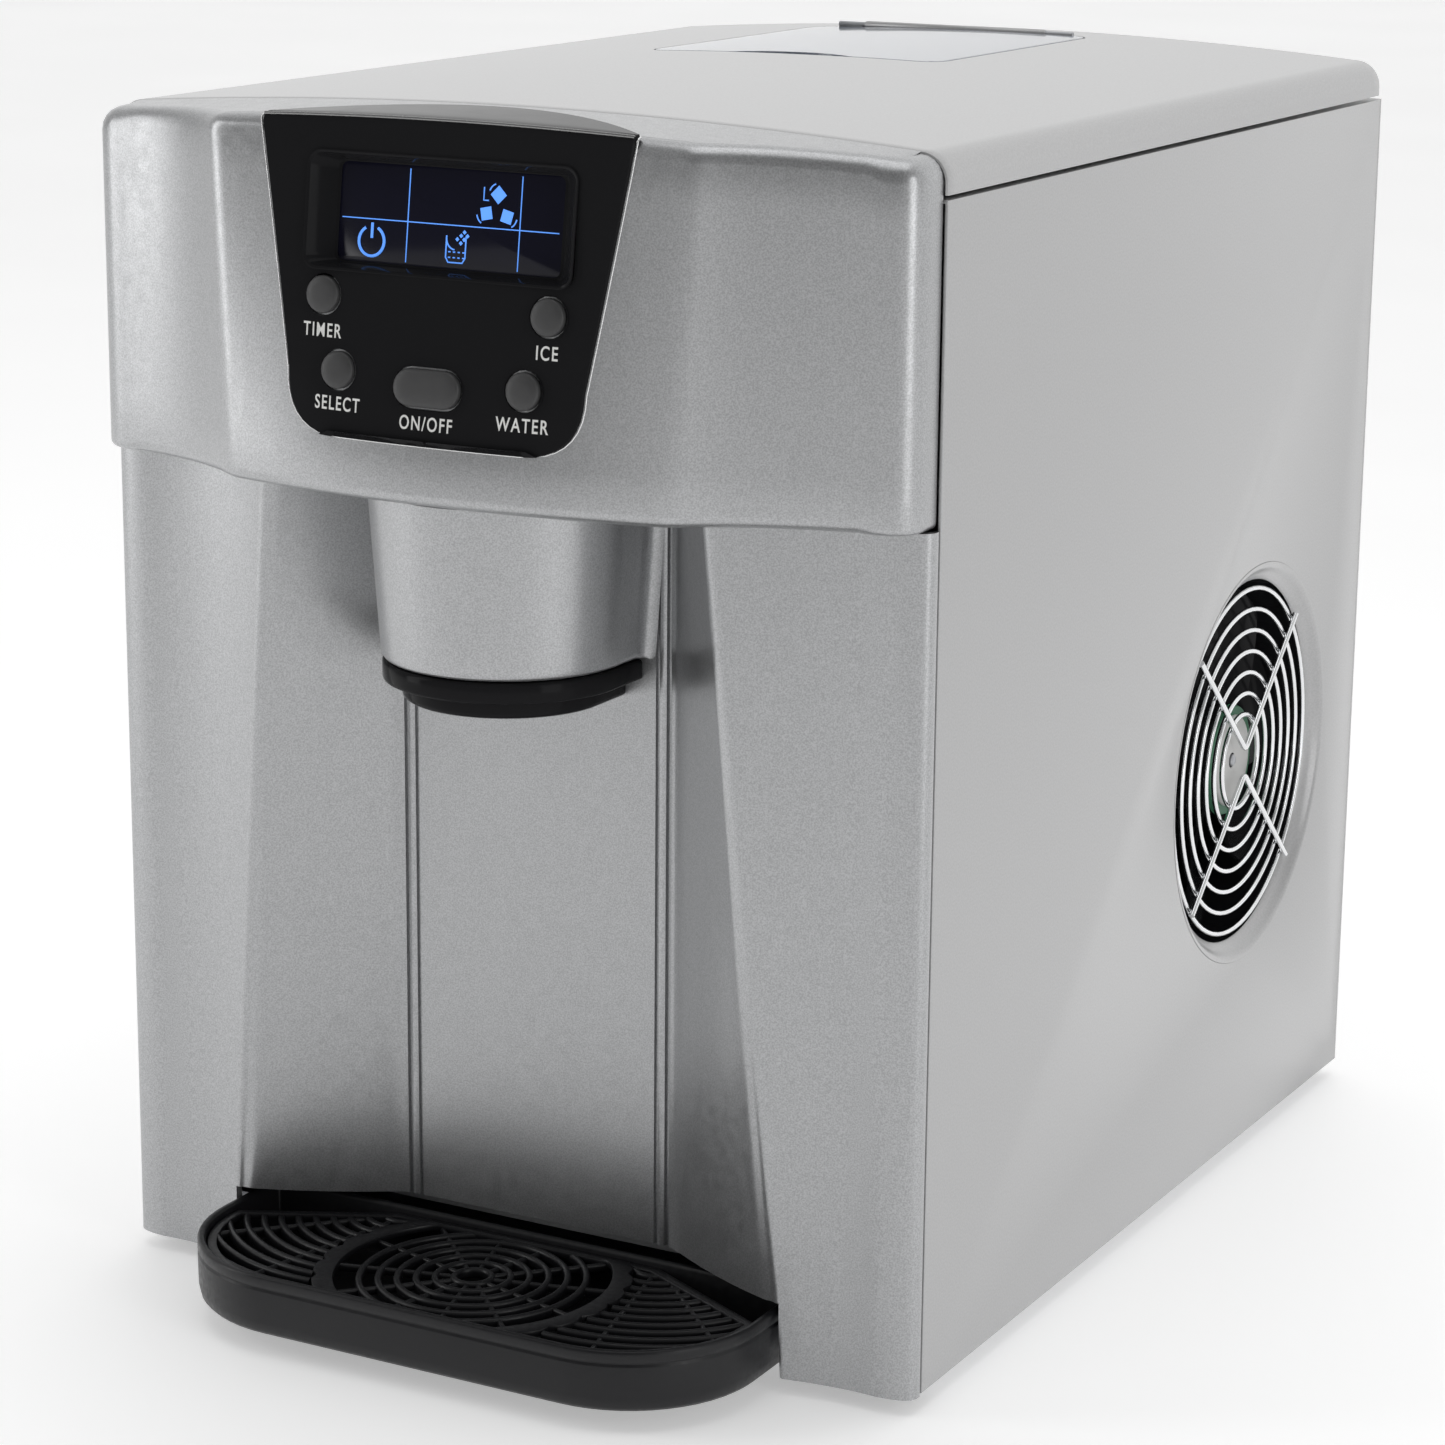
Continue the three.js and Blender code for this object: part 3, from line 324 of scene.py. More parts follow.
def soften(obj, millimetres, segments=2, angle=40):
    mod = obj.modifiers.new("soft edge", "BEVEL")
    mod.width = millimetres / 1000
    mod.segments = segments
    mod.limit_method = "ANGLE"
    mod.angle_limit = math.radians(angle)
    mod.harden_normals = False
    return bake(obj)


def carve(obj, tool, operation="DIFFERENCE"):
    mod = obj.modifiers.new("cut", "BOOLEAN")
    mod.operation = operation
    mod.solver = "EXACT"
    mod.object = tool
    bake(obj)
    bpy.data.objects.remove(tool)
    return obj


def arc(cx, cy, radius, start, stop, count):
    """Points on a circle's arc; angles in degrees."""
    turn = [math.radians(start + (stop - start) * i / count) for i in range(count + 1)]
    return [(cx + radius * math.cos(a), cy + radius * math.sin(a)) for a in turn]


def curve_points(p0, p1, p2, count):
    """Points on a quadratic curve from p0 to p2, pulled towards p1."""
    made = []
    for i in range(count + 1):
        t = i / count
        made.append(tuple((1 - t) ** 2 * a + 2 * t * (1 - t) * b + t * t * c for a, b, c in zip(p0, p1, p2)))
    return made


def inward(points, inset):
    """Offsets a plan line to its right-hand side, by one distance or one per point."""
    made = []
    last = len(points) - 1
    for i, (x, y) in enumerate(points):
        before = points[max(i - 1, 0)]
        after = points[min(i + 1, last)]
        dx, dy = after[0] - before[0], after[1] - before[1]
        length = math.hypot(dx, dy) or 1.0
        d = inset[i] if isinstance(inset, (list, tuple)) else inset
        made.append((x + dy / length * d, y - dx / length * d))
    return made


def rounded_rect(half_x, half_z, radius, count=6):
    corners = [(half_x, half_z, 0), (-half_x, half_z, 90), (-half_x, -half_z, 180), (half_x, -half_z, 270)]
    line = []
    for cx, cz, start in corners:
        line += arc(math.copysign(abs(cx) - radius, cx), math.copysign(abs(cz) - radius, cz),
                    radius, start, start + 90, count)
    return line


def lathe(name, profile, axis, centre, count=64):
    """Turns (radius, distance along the axis) round x, y or z through a centre, in millimetres."""
    rows = []
    for i in range(count):
        a = 2 * math.pi * i / count
        row = []
        for radius, along in profile:
            u, v = radius * math.cos(a), radius * math.sin(a)
            offset = {"x": (along, u, v), "y": (u, along, v), "z": (u, v, along)}[axis]
            row.append(at(*(c + o for c, o in zip(centre, offset))))
        rows.append(row)
    rows.append(rows[0])
    return skin(name, rows)


def sheet(name, outer, holes, place_point, thickness, bevel=0.3):
    """A flat plate from a 2D outline with holes, set in place by place_point(u, v, depth)."""
    lines = [[(u / 1000, v / 1000, 0) for u, v in line] for line in [outer, *holes]]
    obj = poly_curve(name, lines, "2D", closed=True)
    obj.data.fill_mode = "BOTH"
    obj.data.extrude = (thickness / 2 - bevel) / 1000
    obj.data.bevel_depth = bevel / 1000
    obj.data.bevel_resolution = 1
    obj.data.offset = -bevel / 1000
    piece = as_mesh(obj)
    for vertex in piece.data.vertices:
        u, v, w = (c * 1000 for c in vertex.co)
        vertex.co = place_point(u, v, w)
    weld(piece.data)
    return piece


def wire(name, lines, radius, look, body, closed=False, resolution=3):
    """Round wires along one or more lists of points in millimetres."""
    obj = poly_curve(name, [[at(*p) for p in points] for points in lines], closed=closed)
    obj.data.bevel_depth = radius / 1000
    obj.data.bevel_resolution = resolution
    obj.data.use_fill_caps = True
    return place(as_mesh(obj), look, body, angle=60)


# ---- the head: the upper front moulding ----

EDGE_TURN = [math.radians(90 * i / 5) for i in range(6)]


def roof_z(x, y):
    """Height of the head's roof: crowned across, easing down to the front."""
    flat = HALF - EDGE_RADIUS
    return COVER_EDGE_Z + CROWN * (1 - (x / flat) ** 2) - 4 * (12 - y) / 92


def lean(x, y, z):
    """The head comes forward as it comes down, most of all in the middle."""
    share = min(1.0, abs(x) / CREASE_X)
    down = 1 - (z - HEAD_LOW_Z) / (COVER_EDGE_Z - HEAD_LOW_Z)
    middle = CREASE_LEAN + (CENTRE_LEAN - CREASE_LEAN) * (1 - share ** 2)
    wing = max(0.0, (abs(x) - CREASE_X) / (HALF - CREASE_X))
    forward = min(1.0, max(0.0, (SEAM_Y - y) / (SEAM_Y - CREASE_Y)))
    sideways = math.copysign(CREASE_SHIFT * down * share * (1 - wing) * forward, x)
    return (x - sideways, y - middle * (1 - wing) * down * forward, z)


def head_outline():
    """The head's forward face in plan at the top, from the right seam round to the left one."""
    half = [(HEAD_HALF, SEAM_Y), (HEAD_HALF, 5.0)]
    half += curve_points((HEAD_HALF, 2.0), (HEAD_HALF, -10.0), (HEAD_HALF - 12, -11.0), 8)
    wing = curve_points((HEAD_HALF - 12, -11.0), (CREASE_X + 18, -17.0), (CREASE_X, CREASE_Y), 14)
    half += wing[1:-1]
    half += curve_points(wing[-2], (CREASE_X, CREASE_Y), (CREASE_X - 5, CREASE_Y), 5)[1:]
    half += [(CREASE_X - 5 - 7.25 * i, CREASE_Y) for i in range(1, 13)]
    return half + [(-x, y) for x, y in half[-2::-1]]


def head_skin():
    plan = head_outline()
    rows = []
    lips = [4.5 if abs(x) < HEAD_HALF - 14 else 2.5 for x, y in plan]
    for turn in EDGE_TURN:
        line = inward(plan, [lip * (1 - math.sin(turn)) for lip in lips])
        heights = [HEAD_LOW_Z + lip * (1 - math.cos(turn)) for lip in lips]
        rows.append([at(*lean(x, y, z)) for (x, y), z in zip(line, heights)])
    radius = [6.0 if abs(x) < HEAD_HALF - 14 else 8.0 for x, y in plan]
    tops = [roof_z(x, y) - r for (x, y), r in zip(plan, radius)]
    for step in range(1, 10):
        share = step / 9
        lows = [HEAD_LOW_Z + lip for lip in lips]
        heights = [low + share * (top - low) for low, top in zip(lows, tops)]
        rows.append([at(*lean(x, y, z)) for (x, y), z in zip(plan, heights)])
    for turn in EDGE_TURN[1:]:
        insets = [r * (1 - math.cos(turn)) for r in radius]
        line = inward(plan, insets)
        heights = [top + r * math.sin(turn) for top, r in zip(tops, radius)]
        rows.append([at(*lean(x, y, z)) for (x, y), z in zip(line, heights)])
    line = inward(plan, radius)
    roof = []
    for share in [i / 6 for i in range(7)]:
        row = []
        for (x, y), (px, py), r in zip(line[1:-1], plan[1:-1], radius[1:-1]):
            back = y + share * (SEAM_Y - y)
            start = roof_z(px, py)
            row.append(at(x, back, start + share * (roof_z(x, SEAM_Y) - start)))
        roof.append(row)
    front = skin("front_upper_bezel_shell", rows)
    top = skin("roof", roof)
    floor = mesh_object("floor of the head", rows[0], [tuple(range(len(rows[0])))])
    bm = bmesh.new()
    for part in (front, top, floor):
        bm.from_mesh(part.data)
        bpy.data.objects.remove(part)
    bmesh.ops.remove_doubles(bm, verts=bm.verts, dist=2e-5)
    bmesh.ops.dissolve_degenerate(bm, edges=bm.edges, dist=WELD)
    return from_bmesh("head_moulding", bm)


# ---- the control panel ----


def front_y(x, z):
    """Depth of the head's front face at a place seen from the front."""
    down = 1 - (z - HEAD_LOW_Z) / (COVER_EDGE_Z - HEAD_LOW_Z)
    share = min(1.0, abs(x) / (CREASE_X - CREASE_SHIFT * down))
    return CREASE_Y - (CREASE_LEAN + (CENTRE_LEAN - CREASE_LEAN) * (1 - share ** 2)) * down


PANEL_LOW_Z = 323.0
PANEL_TAPER_Z = 344.0
PANEL_LOW_HALF = 57.0
PANEL_TOP_HALF = 71.0
PANEL_CORNER = 22.0
PANEL_EDGE = 2.2
PANEL_TUCK = -0.5
GLINT_TURN = 3


def panel_half(z):
    """Half the panel's width: round lower corners, then a steady flare up to the top."""
    if z >= PANEL_TAPER_Z:
        rise = (z - PANEL_TAPER_Z) / (COVER_EDGE_Z - PANEL_TAPER_Z)
        return PANEL_LOW_HALF + (PANEL_TOP_HALF - PANEL_LOW_HALF) * rise
    turn = 1 - math.sqrt(max(0.0, (z - PANEL_LOW_Z) / (PANEL_TAPER_Z - PANEL_LOW_Z)))
    return PANEL_LOW_HALF - PANEL_CORNER * turn ** 2


def front_point(z, share, out):
    """On the panel's front at a height, a share of the way out to its side."""
    x = share * panel_half(z)
    return x, front_y(x, z) - out, z


def edge_point(turn, share, out):
    """On the rounded edge between the front and the roof."""
    x = share * PANEL_TOP_HALF
    start = roof_z(x, CREASE_Y) - PANEL_EDGE
    y = front_y(x, start) + PANEL_EDGE * (1 - math.cos(turn)) - out * math.cos(turn)
    return x, y, start + (PANEL_EDGE + out) * math.sin(turn)


def roof_point(depth, share, out):
    """On the roof, a share of the way back to the arc that ends the panel."""
    x = share * PANEL_TOP_HALF
    front = CREASE_Y + PANEL_EDGE
    back = front + 0.4 - (front - 1) * (1 - share ** 2)
    y = front + depth * (back - front)
    return x, y, roof_z(x, y) + out


def panel_row(place_point, where, tucked=False):
    """One row across the panel; its ends, or all of it, dip under the head's surface."""
    out = PANEL_TUCK if tucked else PANEL_PROUD
    inner = [place_point(where, -0.987 + 1.974 * i / 40, out) for i in range(41)]
    return [place_point(where, -1.0, PANEL_TUCK), *inner, place_point(where, 1.0, PANEL_TUCK)]


def panel_rows():
    """The panel's rows up the front, over the rounded edge and back to an arc on the roof."""
    corner = [PANEL_LOW_Z + (PANEL_TAPER_Z - PANEL_LOW_Z) * (i / 9) ** 2 for i in range(1, 10)]
    flare = [PANEL_TAPER_Z + 8.9 * i for i in range(1, 9)]
    front = [panel_row(front_point, PANEL_LOW_Z, tucked=True)]
    front += [panel_row(front_point, z) for z in [PANEL_LOW_Z + 0.35, *corner, *flare]]
    edge = [panel_row(edge_point, turn) for turn in EDGE_TURN]
    roof = [panel_row(roof_point, depth) for depth in (0.15, 0.3, 0.45, 0.6, 0.75, 0.88, 0.965)]
    roof.append(panel_row(roof_point, 1.0, tucked=True))
    return front, edge, roof


def on_panel(x, z):
    """Places (sideways, up, outward) about a point of the panel's face, in millimetres."""
    y = front_y(x, z) - PANEL_PROUD

    def place_point(u, v, w):
        return at(x + u, y + v * math.sin(PANEL_LEAN) - w * math.cos(PANEL_LEAN),
                  z + v * math.cos(PANEL_LEAN) + w * math.sin(PANEL_LEAN))
    return place_point


def stadium(radius, stretch):
    """A circle pulled out sideways, or a plain circle when stretch is nought."""
    return arc(stretch, 0, radius, -90, 90, 10) + arc(-stretch, 0, radius, 90, 270, 10)


def loops(name, outlines, place_point, capped=True):
    """A closed skin through 2D loops given as (outline, outward distance)."""
    rows = [[place_point(u, v, w) for u, v in line] for line, w in outlines]
    return skin(name, rows, closed=True, capped=capped)


DISPLAY_Z = 396.5
GLYPH_DEPTH = 7.1
LETTER_HEIGHT = 4.6
CAPITAL_SHARE = 0.72
LETTER_SQUEEZE = 0.76
PRINT_PROUD = 0.08
# Name, middle of the cap across and up, half its straight stretch, its words and their height.
BUTTONS = [
    ("timer_button", -43.0, 369.0, 0.0, "TIMER", 357.2),
    ("select_button", -35.5, 345.0, 0.0, "SELECT", 333.8),
    ("power_button", 0.0, 342.0, 6.4, "ON/OFF", 330.4),
    ("ice_button", 43.0, 368.0, 0.0, "ICE", 356.4),
    ("water_button", 35.5, 344.0, 0.0, "WATER", 332.9),
]


def prism(name, line, place_point, low, high):
    return loops(name, [(line, low), (line, high)], place_point)


def panel_text(words, x, z):
    """Narrow printed capitals, laid on the panel's curved face."""
    data = bpy.data.curves.new(words, "FONT")
    data.body = words
    data.size = LETTER_HEIGHT / 1000 / CAPITAL_SHARE
    data.align_x = "CENTER"
    data.align_y = "CENTER"
    data.space_character = 1.22
    data.extrude = 0.00004
    data.offset = 0.00008
    piece = as_mesh(linked("print_" + words.replace("/", "_").lower(), data))
    for vertex in piece.data.vertices:
        u, v, w = (c * 1000 for c in vertex.co)
        px, pz = x + u * LETTER_SQUEEZE, z + v
        vertex.co = at(px, front_y(px, pz) - PANEL_PROUD - PRINT_PROUD - w, pz)
    place(piece, PRINT_WHITE)


def display_lines(name, lines, radius):
    """Fine glowing lines in the display, as (sideways, up) from its middle."""
    place_point = on_panel(0, DISPLAY_Z)
    obj = poly_curve(name, [[place_point(u, v, -GLYPH_DEPTH) for u, v in line] for line in lines])
    obj.data.bevel_depth = radius / 1000
    obj.data.bevel_resolution = 1
    obj.data.materials.append(ICON_BLUE)
    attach(obj, "cabinet")


def display_squares(name, squares):
    """Small filled squares in the display, as (sideways, up, half side, turn in degrees)."""
    place_point = on_panel(0, DISPLAY_Z)
    points, faces = [], []
    for u, v, half, turn in squares:
        first = len(points)
        reach = 1.3 * half
        for k in range(4):
            a = math.radians(turn + 45 + 90 * k)
            points.append(place_point(u + reach * math.cos(a), v + reach * math.sin(a), -6.95))
        faces.append(tuple(range(first, first + 4)))
    place(thicken(mesh_object(name, points, faces), 0.2, 0.0), ICON_BLUE)


def make_head():
    head = head_skin()
    place_mid = on_panel(0, DISPLAY_Z)
    head = carve(head, prism("tool", rounded_rect(54, 22, 6), place_mid, -14.0, 6.0))
    place(head, "silver_paint", "cabinet", ("front_upper_bezel",), angle=42)


def make_panel():
    front, edge, roof = panel_rows()
    rows = front + edge + roof
    face = thicken(skin("control_panel_face", [[at(*p) for p in row] for row in rows]), 2.2)
    face = carve(face, prism("tool", rounded_rect(51.2, 19.2, 5), on_panel(0, DISPLAY_Z), -6.0, 6.0))
    for _, x, z, stretch, _, _ in BUTTONS:
        face = carve(face, prism("tool", stadium(7.0, stretch), on_panel(x, z), -5.0, 5.0))
    place(face, "gloss_black", "cabinet", ("control_panel",), angle=30)
    # A pale wire round the panel's border: a painted highlight on its chamfered edge.
    left, right = [row[0] for row in rows], [row[-1] for row in rows[::-1]]
    border = left + rows[-1][1:-1] + right + rows[0][1:-1][::-1]
    raised = [(x * 1.004, y - 0.35, z + (0.5 if z > COVER_EDGE_Z else 0.0)) for x, y, z in border]
    wire("control_panel_outline_highlight", [raised], 0.34, PAINTED_OUTLINE_HIGHLIGHT, "cabinet", True, 2)
    # A grey wire along the crest of the rounded edge: a painted highlight of that edge.
    crest = [(x, y - 0.1, z + 0.1) for x, y, z in edge[GLINT_TURN][1:-1]]
    wire("control_panel_edge_glint", [crest], 0.6, PAINTED_EDGE_HIGHLIGHT, "cabinet", False, 2)


def make_display():
    """The sloping surround and the dark glass at the bottom of its recess."""
    place_mid = on_panel(0, DISPLAY_Z)
    recess = [
        (rounded_rect(51.6, 19.6, 5.2), 0.25), (rounded_rect(51.2, 19.2, 5), 0.3),
        (rounded_rect(50.4, 18.6, 4.6), -0.1), (rounded_rect(49.8, 18.2, 4.4), -1.0),
        (rounded_rect(44.6, 16.9, 3.4), -6.4), (rounded_rect(43.8, 16.6, 3), -7.0),
        (rounded_rect(42.6, 16.2, 2.6), -7.1),
    ]
    place(loops("display_surround", recess, place_mid, capped=False), "gloss_black", angle=25)
    glass = [(rounded_rect(43.4, 16.6, 2.8), -9.0), (rounded_rect(43.4, 16.6, 2.8), -7.4),
             (rounded_rect(43.0, 16.2, 2.6), -7.2)]
    place(loops("display_glass_plate", glass, place_mid), "display_glass", "cabinet", ("display_window",), 30)


def make_icons():
    """A grid of cells with a power mark, a tumbler and three ice cubes."""
    half_u, half_v = 41.4, 15.2
    grid = [[(-16.0, -half_v), (-16.0, half_v)], [(26.6, -half_v), (26.6, half_v)],
            [(-half_u, -2.0), (half_u, -2.0)]]
    display_lines("display_grid", grid, 0.2)
    power = [arc(-29.6, -9.2, 4.9, 118, 422, 28), [(-29.6, -8.2), (-29.6, -3.2)]]
    display_lines("display_power_icon", power, 0.5)
    tumbler = [[(-0.8, -5.4), (-0.8, -12.4), (0.2, -14.0), (5.6, -14.0), (6.6, -12.4), (6.6, -5.4)],
               arc(2.9, -6.2, 3.7, 180, 265, 8)]
    display_lines("display_tumbler_icon", tumbler, 0.26)
    dashes = [[(0.2 + 1.8 * i, v), (1.1 + 1.8 * i, v)] for i in range(4) for v in (-10.6, -12.4)]
    display_lines("display_tumbler_water", dashes, 0.24)
    chips = [(3.4, -6.4), (4.8, -5.2), (6.0, -6.4), (4.8, -7.6), (6.0, -4.0), (7.2, -5.2)]
    display_squares("display_tumbler_ice", [(u, v, 0.55, 45) for u, v in chips])
    top, left, right = (18.0, 8.8), (13.8, 2.6), (21.6, 2.0)
    display_squares("display_cube_icons", [(*top, 2.3, 45), (*left, 2.2, 12), (*right, 2.2, -14)])
    shards = []
    for (u, v), start in ((top, 110), (left, 190), (right, 300)):
        shards.append(arc(u, v, 3.7, start, start + 50, 4))
    shards.append([(12.4, 11.0), (12.4, 6.8), (14.4, 6.8)])
    display_lines("display_cube_marks", shards, 0.24)


def make_buttons():
    """Each button's cap stands in a fine raised ring, with its words printed below."""
    for name, x, z, stretch, _, _ in BUTTONS:
        ring_steps = [(7.25, 0.02), (7.1, 0.16), (6.85, 0.02), (6.8, -3.0)]
        ring = [(stadium(radius, stretch), out) for radius, out in ring_steps]
        place(loops(name + "_ring", ring, on_panel(x, z), capped=False), "gloss_black", angle=20)
        cap_steps = [(0.3, -4.0), (0.25, 0.9), (0.45, 1.35), (0.9, 1.7), (1.8, 2.0), (3.2, 2.2), (4.8, 2.28)]
        cap = [(stadium(6.5 - inset, stretch), out) for inset, out in cap_steps]
        place(loops(name + "_cap", cap, on_panel(x, z)), "button_grey", name, (name,), angle=50)
    for _, x, _, _, words, words_z in BUTTONS:
        panel_text(words, x, words_z)


# ---- the lower front: columns, splayed walls and the bay ----

COLUMN_TOP = 85.0
COLUMN_LOW = 109.0
BAY_HALF = 52.0
CHUTE_HALF = 30.0
CHUTE_LOW = 252.0
CHUTE_TOP = 294.0


def splay(x, y, z):
    """The bay widens downward: the column edges move outward and back."""
    top = HEAD_LOW_Z - 0.3
    down = (top - z) / (top - 32)
    edge = COLUMN_TOP + (COLUMN_LOW - COLUMN_TOP) * down
    inner, outer = BAY_HALF + 4, HALF - 13
    side = abs(x)
    if side <= inner or side >= outer:
        return x, y, z
    if side < COLUMN_TOP:
        share = (side - inner) / (COLUMN_TOP - inner)
        moved = inner + share * (edge - inner)
    else:
        share = (outer - side) / (outer - COLUMN_TOP)
        moved = outer - share * (outer - edge)
    return math.copysign(moved, x), y + 9 * down * share ** 2, z


def lower_outline():
    half = [(HALF - 1.6, SEAM_Y - 0.1), (HALF - 0.2, SEAM_Y - 0.4), (HALF, SEAM_Y - 0.9)]
    half += curve_points((HALF, 5.5), (HALF, 0.0), (HALF - 13, -0.5), 10)
    half += curve_points((HALF - 13, -0.5), (HALF - 40, 1.0), (COLUMN_TOP + 5, -11.0), 14)[1:]
    half += curve_points((COLUMN_TOP + 5, -11.0), (COLUMN_TOP, -13.6), (COLUMN_TOP - 3, -9.0), 8)[1:]
    start, end = (COLUMN_TOP - 3, -9.0), (BAY_HALF + 6, WALL_Y - 3)
    middle = ((start[0] + end[0]) / 2, (start[1] + end[1]) / 2)
    half += curve_points(start, middle, end, 6)[1:]
    half += curve_points(end, (BAY_HALF + 4.2, WALL_Y - 0.6), (BAY_HALF + 2.6, WALL_Y - 0.4), 4)[1:]
    half += [(BAY_HALF + 1.9, WALL_Y), (BAY_HALF + 1.6, WALL_Y + 1.4), (BAY_HALF + 0.4, WALL_Y + 1.4),
             (BAY_HALF, WALL_Y), (BAY_HALF - 0.6, WALL_Y - 0.3), (BAY_HALF - 2, WALL_Y - 0.3),
             (BAY_HALF - 2.6, WALL_Y), (BAY_HALF - 2.9, WALL_Y + 1.2), (BAY_HALF - 3.9, WALL_Y + 1.2),
             (BAY_HALF - 4.2, WALL_Y)]
    return half + [(-x, y) for x, y in half[::-1]]


def cut_window(bm, half_width, low, high):
    """Opens a window centred across the moulding, between two heights."""
    half_width, low, high = half_width / 1000, low / 1000, high / 1000
    planes = [((half_width, 0, 0), (1, 0, 0)), ((-half_width, 0, 0), (1, 0, 0)),
              ((0, 0, low), (0, 0, 1)), ((0, 0, high), (0, 0, 1))]
    for where, normal in planes:
        everything = bm.verts[:] + bm.edges[:] + bm.faces[:]
        bmesh.ops.bisect_plane(bm, geom=everything, plane_co=where, plane_no=normal, dist=WELD)
    gone = []
    for face in bm.faces:
        middle = face.calc_center_median()
        if abs(middle.x) < half_width and low < middle.z < high:
            gone.append(face)
    bmesh.ops.delete(bm, geom=gone, context="FACES")


def make_lower_front():
    plan = lower_outline()
    heights = [6.0 + (HEAD_LOW_Z - 0.3 - 6.0) * i / 24 for i in range(25)]
    rows = [[at(*splay(x, y, z)) for x, y in plan] for z in heights]
    front = skin("lower_front_skin", rows)
    bm = bmesh.new()
    bm.from_mesh(front.data)
    bpy.data.objects.remove(front)
    cut_window(bm, TRAY_HALF + 1.6, 0.0, TRAY_RIM + 3.4)
    cut_window(bm, CHUTE_HALF, CHUTE_LOW, CHUTE_TOP)
    front = thicken(from_bmesh("lower_front_moulding", bm), 2.6, -1.0)
    place(front, "silver_paint", "cabinet", ("front_lower_panel",), angle=32)


NOZZLE_RADIUS = 43.0
NOZZLE_LOW_Z = 244.0
NOZZLE_REAR = WALL_Y - 0.3


def nozzle_line(radius, rear, fillet=0.0):
    """Plan of the nozzle: a half round that runs back to the rear wall."""
    line = []
    if fillet:
        line += curve_points((radius + fillet, rear), (radius, rear), (radius, rear - fillet), 6)
    else:
        line += [(radius, rear)]
    line += arc(0, NOZZLE_Y, radius, 0, -180, 40)
    if fillet:
        line += curve_points((-radius, rear - fillet), (-radius, rear), (-radius - fillet, rear), 6)
    else:
        line += [(-radius, rear)]
    return line


def nozzle_ring(name, profile, stands_for):
    """A ring under the nozzle from (radius, height) steps, flat against the rear wall."""
    outlines = [(nozzle_line(radius, NOZZLE_REAR), z) for radius, z in profile]
    place(loops(name, outlines, at), "gloss_black", "cabinet", (stands_for,), 50)


def make_nozzle():
    rows = []
    low, top = NOZZLE_LOW_Z, HEAD_LOW_Z - 0.4
    for inset, z in ((6.0, low), (2.2, low + 0.1), (1.0, low + 0.6), (0.25, low + 1.6), (0.0, low + 3.0)):
        rows.append([at(x, y, z) for x, y in nozzle_line(NOZZLE_RADIUS - inset, NOZZLE_REAR, 5.0)])
    for i in range(1, 9):
        share = i / 8
        z = low + 3 + (top - low - 3) * share
        rows.append([at(x, y, z) for x, y in nozzle_line(NOZZLE_RADIUS + 4.0 * share, NOZZLE_REAR, 5.0)])
    housing = skin("nozzle_shell", rows)
    place(housing, "silver_paint", "cabinet", ("nozzle_housing",), angle=60)
    collar = [(30, 236.6), (41.6, 236.6), (42.4, 237.0), (42.6, 237.8), (42.6, 242.6), (42.2, 243.4),
              (41.4, 243.7)]
    nozzle_ring("nozzle_collar_ring", collar, "nozzle_collar")
    spout = [(29, 231.5), (31.5, 230.2), (34.6, 230.0), (35.7, 230.8), (36, 232.0), (36, 235.6), (34, 236.2)]
    nozzle_ring("nozzle_spout_ring", spout, "nozzle_spout")


# ---- drip tray and grate ----


def tray_line(inset, count=14):
    """Plan of the tray: round front corners, square rear ones."""
    side, rear, radius = TRAY_HALF - inset, TRAY_BACK - inset, TRAY_CORNER - inset
    front = TRAY_FRONT + inset
    soft = max(0.6, 2.0 - inset * 0.3)
    line = arc(side - soft, rear - soft, soft, 0, 90, 3) + arc(-side + soft, rear - soft, soft, 90, 180, 3)
    line += arc(-side + radius, front + radius, radius, 180, 270, count)
    line += arc(side - radius, front + radius, radius, 270, 360, count)
    return line


def make_tray():
    floor_z = 10.2
    inside = [(8.0, floor_z), (3.6, floor_z), (3.0, 11.4), (3.0, 28.6)]
    rim = [(2.7, 29.6), (2.1, TRAY_RIM), (1.0, TRAY_RIM), (0.35, 29.7), (0.0, 29.0), (0.0, 26.2)]
    groove = [(0.5, 25.7), (0.5, 25.2), (0.1, 24.7)]
    outside = [(0.0, 24.2), (0.2, 13.0), (0.9, 9.6), (2.4, 8.0), (4.4, 7.6)]
    outlines = [(tray_line(inset), z) for inset, z in inside + rim + groove + outside]
    place(loops("tray_shell", outlines, at), "satin_black", "drip_tray", ("drip_tray",), angle=50)


GRATE_GAP = 3.5
GRATE_REAR = 16.5
GRATE_TOP = 27.5
WALL_SLOPE = 28.6 / 56


def grate_wall(x, inset):
    """How far back the grate reaches along the bay's splayed wall."""
    return 16.6 - (x - 54) * WALL_SLOPE - inset * 1.12


def in_grate(x, y, margin):
    """True where the grate has metal: inside the tray and clear of the splayed walls."""
    side, front = TRAY_HALF - GRATE_GAP - margin, TRAY_FRONT + GRATE_GAP + margin
    radius = TRAY_CORNER - GRATE_GAP
    x = abs(x)
    back = GRATE_REAR - margin
    if x > 54:
        back = min(back, grate_wall(x, margin))
    if x > side or y < front or y > back:
        return False
    cx, cy = TRAY_HALF - TRAY_CORNER, TRAY_FRONT + TRAY_CORNER
    if x > cx and y < cy:
        return math.hypot(x - cx, y - cy) <= radius - margin
    return True


def grate_outline(inset):
    """Plan of the grate, its rear corners cut back along the walls of the bay."""
    side, front = TRAY_HALF - GRATE_GAP - inset, TRAY_FRONT + GRATE_GAP + inset
    radius = TRAY_CORNER - GRATE_GAP - inset
    back, corner_x, wall_y = GRATE_REAR - inset, 54 - inset * 0.5, grate_wall(side, inset)
    line = [(side, wall_y), (corner_x, back), (-corner_x, back), (-side, wall_y)]
    line += arc(-side + radius, front + radius, radius, 180, 270, 14)
    line += arc(side - radius, front + radius, radius, 270, 360, 14)
    return line


